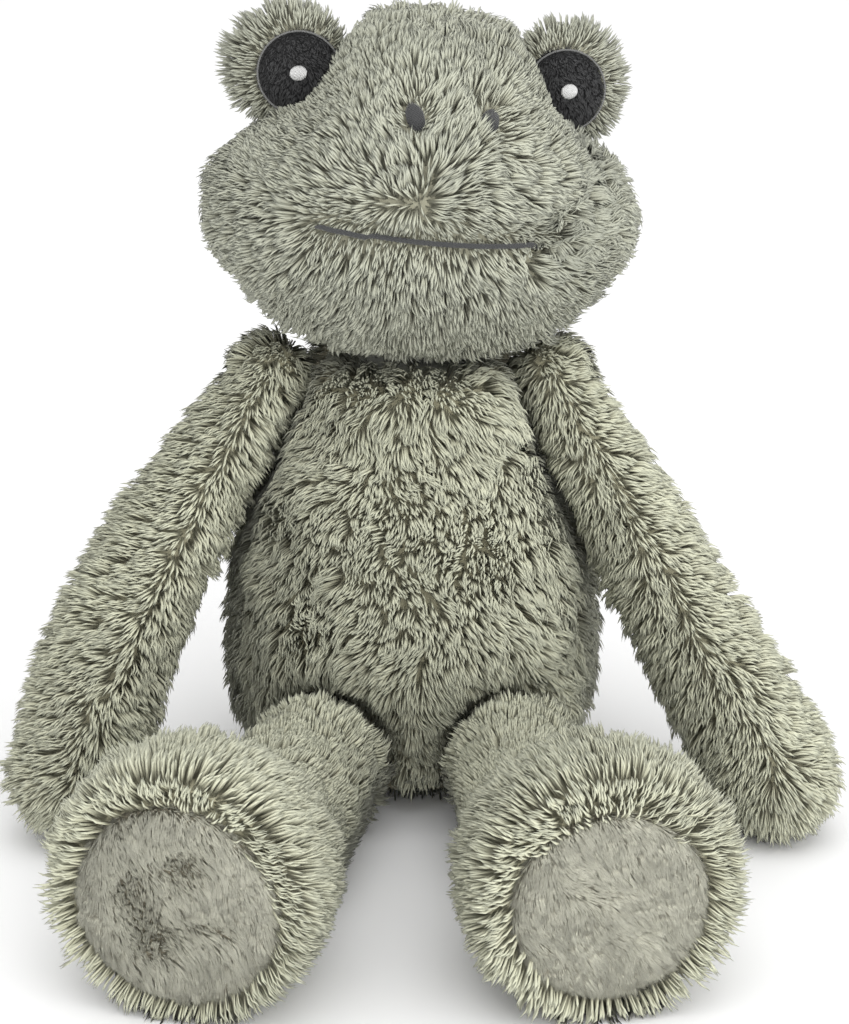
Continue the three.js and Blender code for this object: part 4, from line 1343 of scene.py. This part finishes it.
def path_places(points, count=80):
    """Places at even distances along a smooth path, with the distance of each."""
    run = run_through(points, 24)
    steps = np.linalg.norm(np.diff(run, axis=0), axis=1)
    far = np.concatenate([[0], np.cumsum(steps)])
    even = np.linspace(0, far[-1], count)
    return np.stack([np.interp(even, far, run[:, k]) for k in range(3)], axis=-1), even


def limb_rings(points, rows, across):
    """Rings round a limb's path, from rows of distance, radius and lift, in millimetres."""
    path, even = path_places(points)
    ahead = unit(np.gradient(path, axis=0))
    rings = []
    for far, radius, lift in run_through(rows, 4, wide=(1,)):
        inside = np.clip(far, 0, even[-1])
        centre = np.array([np.interp(inside, even, path[:, k]) for k in range(3)])
        front = unit(np.array([np.interp(inside, even, ahead[:, k]) for k in range(3)]))
        centre = centre + front * (far - inside) + np.array([0, 0, lift])
        beside = unit(np.cross(front, across))
        rise = np.cross(front, beside)
        rings.append(centre + abs(radius) * circle(beside, rise))
    return np.array(rings) * MM


for side, (sign, hand_out, hand_forward, bow) in ARMS.items():
    shoulder = SHOULDER * (sign, 1, 1)
    hand = np.array([sign * hand_out, -hand_forward, HAND - PRESSED_FLAT])
    points = [shoulder]
    for share, size in ((0.22, 0.75), (0.66, 1)):
        points.append(shoulder + (hand - shoulder) * share + np.array([sign * bow * size, 0, 0]))
    points.append(hand)
    length = path_places(points)[1][-1]
    rows = [(-ARM_ROOT, 0, 0)]
    for angle in np.radians((60, 30, 0)):
        rows.append((-ARM_ROOT * np.sin(angle), ARM_ROOT * np.cos(angle), 0))
    rows += [(share * length, ARM_ROOT + swell * (HAND - ARM_ROOT), 0) for share, swell in ARM_SWELL]
    for angle in np.radians((30, 60)):
        rows.append((length + HAND * np.sin(angle), HAND * np.cos(angle), 0))
    rows += [(length + HAND, 0, 0)]
    rings = limb_rings(points, rows, np.array([1, 0, 0]))
    rings = seated(rings, "arm_" + side)
    down = unit(hand - shoulder)
    out = unit(np.array([sign, 0, 0]) - down * down[0] * sign)
    near = room("arm_" + side)
    seam = (tuple(shoulder * MM), tuple(out))
    form = stuffed(closed_mesh("arm_form_" + side, rings), [seam], near)
    tuck("arm_stuffing_" + side, form)

    def arm_lay(p, n, down=down, out=out, shoulder=shoulder):
        root = np.clip(1 - ((p - shoulder) @ down)[:, None] / ROOT_REACH, 0, 1)
        outwards = np.clip(0.4 + 1.5 * (n @ out)[:, None], -0.7, 1)
        flow = down * 0.8 + np.array([0, 0.6, 0]) * (1 - root) + out * outwards * (0.2 + 0.9 * root)
        mess = 0.2 * root[:, 0] ** 2
        cover = np.where(n[:, 2] < -0.6, 0.6, 1 + 0.25 * root[:, 0])
        pile = 1 - 0.2 * root[:, 0] * np.clip(2 * outwards[:, 0], -1, 1)
        return {"flow": unit(flow), "pile": pile, "stand": 0.1, "mess": mess, "cover": cover}

    for name, direction in (("outer", -1), ("inner", 1)):
        planes = [(Vector(shoulder) * MM, Vector(out * direction))]
        fur, node, arm = "fur_arm_" + name + "_" + side, "arm_" + name + "_panel_" + side, "arm_" + side
        seed = 40 + 3 * sign + direction
        pelt(fur, node, arm, FLUFFY, form, planes, arm_lay, near, seed, Swirl=0.45)

# Legs and feet
# Each leg is a short tube of two panels. It is gathered into a big round foot, which a flat pad of short
# pale pile closes in front. The pile of the foot's rim radiates from the pad and hangs over it.

LEG, FOOT, PAD, PAD_DROP = 22.5, 36.5, 27.5, 2
PAD_SHOWN = {"left": 27, "right": 25.6}
# the height and depth over which a foot's pile turns away from the floor
NEAR_FLOOR = (14, -10)
# how far the pad's rings lie from its middle, as a share, and how far they stand out
PAD_ROWS = [(0, -3), (0.5, -3), (0.9, -3), (0.99, -2.2), (1, -0.7)]
PAD_ROWS += [(0.95, 0.5), (0.8, 1.2), (0.5, 1.7), (0.25, 1.9), (0, 2)]
PAD_DEPTH = 3.2
LEGS = {"left": (-1, 27.5, 62.5), "right": (1, 31, 53)}
HIP_FORWARD, SOLE_FORWARD = 60, 177
ANKLE = 0.6
LEG_SWELL = [
    (0.07, -0.05, 0),
    (0.3, 0.08, 0.05),
    (0.5, 0.24, 0.25),
    (0.61, 0.45, 0.5),
    (0.7, 0.8, 0.85),
    (0.8, 0.98, 1),
    (0.92, 1, 1),
    (0.98, 0.84, 1),
]
# where each sole is brushed the wrong way, as places and sizes from its middle
BRUSHED = {
    "left": [((3, 14), (8, 7)), ((-10, 4), (5, 9)), ((-5, -9), (6, 8)), ((9, -3), (10, 3))],
    "right": [((-6, 6), (6, 4)), ((6, -8), (7, 3))],
}
SOLE_PILE = {
    "Tufts": 8500000.0, "Length": 4.4 * MM, "Thickness": 0.18 * MM, "Bends": 1, "Rise": 0.24,
    "Reach": 0.9, "Swirl": 0.5, "Swirl Size": 16 * MM, "Lock Spacing": 1.2 * MM, "Lock Pull": 0.2,
    "Lock Turn": 0.15,
}
# the sole's roots are painted darker than its tips, as painted shade deep in the short pile
SOLE_TONES = (0.53, 0.485, 0.36), (0.65, 0.64, 0.52), (0.665, 0.66, 0.55)
SOLE = pile_material("short sole pile", "sole_pile", *SOLE_TONES, 0.55)

for side, (sign, hip_out, sole_out) in LEGS.items():
    hip = np.array([sign * hip_out, -HIP_FORWARD, LEG - PRESSED_FLAT])
    sole = np.array([sign * sole_out, -SOLE_FORWARD, LEG - PRESSED_FLAT])
    length = np.linalg.norm(sole - hip)
    ahead = (sole - hip) / length
    rise = FOOT - LEG
    rows = [(-LEG, 0, 0)]
    rows += [(-LEG * math.sin(math.radians(a)), LEG * math.cos(math.radians(a)), 0) for a in (60, 30, 0)]
    rows += [(share * length, LEG + swell * rise, lift * rise) for share, swell, lift in LEG_SWELL]
    rows += [(length, PAD, rise), (length + 0.8, PAD * 0.5, rise), (length + 1.2, 0, rise)]
    rings = limb_rings([hip, (hip + sole) / 2, sole], rows, np.array([0, 0, 1]))
    rings = seated(rings, "leg_" + side)
    near = room("leg_" + side)
    pad_centre = sole + np.array([0, 0, rise - PAD_DROP])

    def leg_lay(p, n, ahead=ahead):
        flow = -ahead * 0.6 + np.array([0, 0, 0.2])
        return {"flow": flow + 0 * p, "pile": 0.8, "stand": 0.1, "cover": thinned(n)}

    def foot_lay(p, n, ahead=ahead, pad_centre=pad_centre, shown=PAD_SHOWN[side]):
        off = p - pad_centre
        off -= ahead * (off @ ahead)[:, None]
        reach = np.linalg.norm(off, axis=1)
        face = np.clip(n @ ahead, 0, 1)[:, None]
        low = past(p[:, 2:], *NEAR_FLOOR)
        flow = unit(off) * (0.3 + 0.7 * face) - ahead * 0.6 * (1 - face) * (1 - low) + np.array([0, 0, -0.25])
        flow = flow + ahead * 0.9 * low
        stand = 0.25 * (1 - face[:, 0])
        on_pad = (reach < shown) & (n @ ahead > 0.6)
        cover = np.where(on_pad, 0.0, np.where(n[:, 2] < -0.7, 0.5, 1.0))
        return {"flow": unit(flow), "stand": stand, "cover": cover}

    def pad_lay(p, n, ahead=ahead, pad_centre=pad_centre, brushed=BRUSHED[side]):
        q = (p - pad_centre)[:, [0, 2]]
        rough = sum(bump_at(q, spot, size) for spot, size in brushed)
        flow = np.array([0.5, 0, -1]) + rough[:, None] * np.array([0.9, 0, 1.6]) + 0 * p
        return {"flow": flow, "stand": 0.1 + 0.7 * rough, "cover": np.where(n @ ahead > -0.3, 1.0, 0.0)}

    ankle = Vector(hip + ahead * length * ANKLE) * MM
    toward = Vector(ahead)
    rim = Vector(pad_centre - 3 * ahead) * MM
    form = stuffed(closed_mesh("leg_form_" + side, rings), [(ankle, toward), (rim, toward)], near)
    tuck("leg_stuffing_" + side, form)
    tuck("foot_stuffing_" + side, form)
    middle = (0, 0, (LEG - PRESSED_FLAT) * MM)
    upper, under = [(ankle, toward), (middle, (0, 0, -1))], [(ankle, toward), (middle, (0, 0, 1))]
    leg = "leg_" + side
    for name, node, look, planes, lay, seed in (
        ("leg_upper_", "leg_upper_panel_", FLUFFY, upper, leg_lay, 51),
        ("leg_under_", "leg_under_panel_", SHADED_BACK, under, leg_lay, 52),
        ("foot_", "foot_cover_", FLUFFY, [(ankle, -toward)], foot_lay, 53),
    ):
        fur, seed = "fur_" + name + side, seed + 5 * sign
        pelt(fur, node + side, leg, look, form, planes, lay, near, seed, Swirl=0.4)

    pad_rings = []
    round_pad = circle(np.cross((0, 0, 1), ahead), np.array([0, 0, 1]))
    for share, lift in PAD_ROWS:
        ring = pad_centre + ahead * (lift - PAD_DEPTH) + share * PAD_SHOWN[side] * round_pad
        pad_rings.append(ring * MM)
    pad_cloth = closed_mesh("pad_form_" + side, np.array(pad_rings))
    form = stuffed(pad_cloth, [(rim, toward)], near, growth=0.05, cap=1.4 * MM)
    sole = "pile_sole_" + side
    pelt(sole, "sole_pad_" + side, leg, SOLE, form, [], pad_lay, near, 60 + sign, **SOLE_PILE)
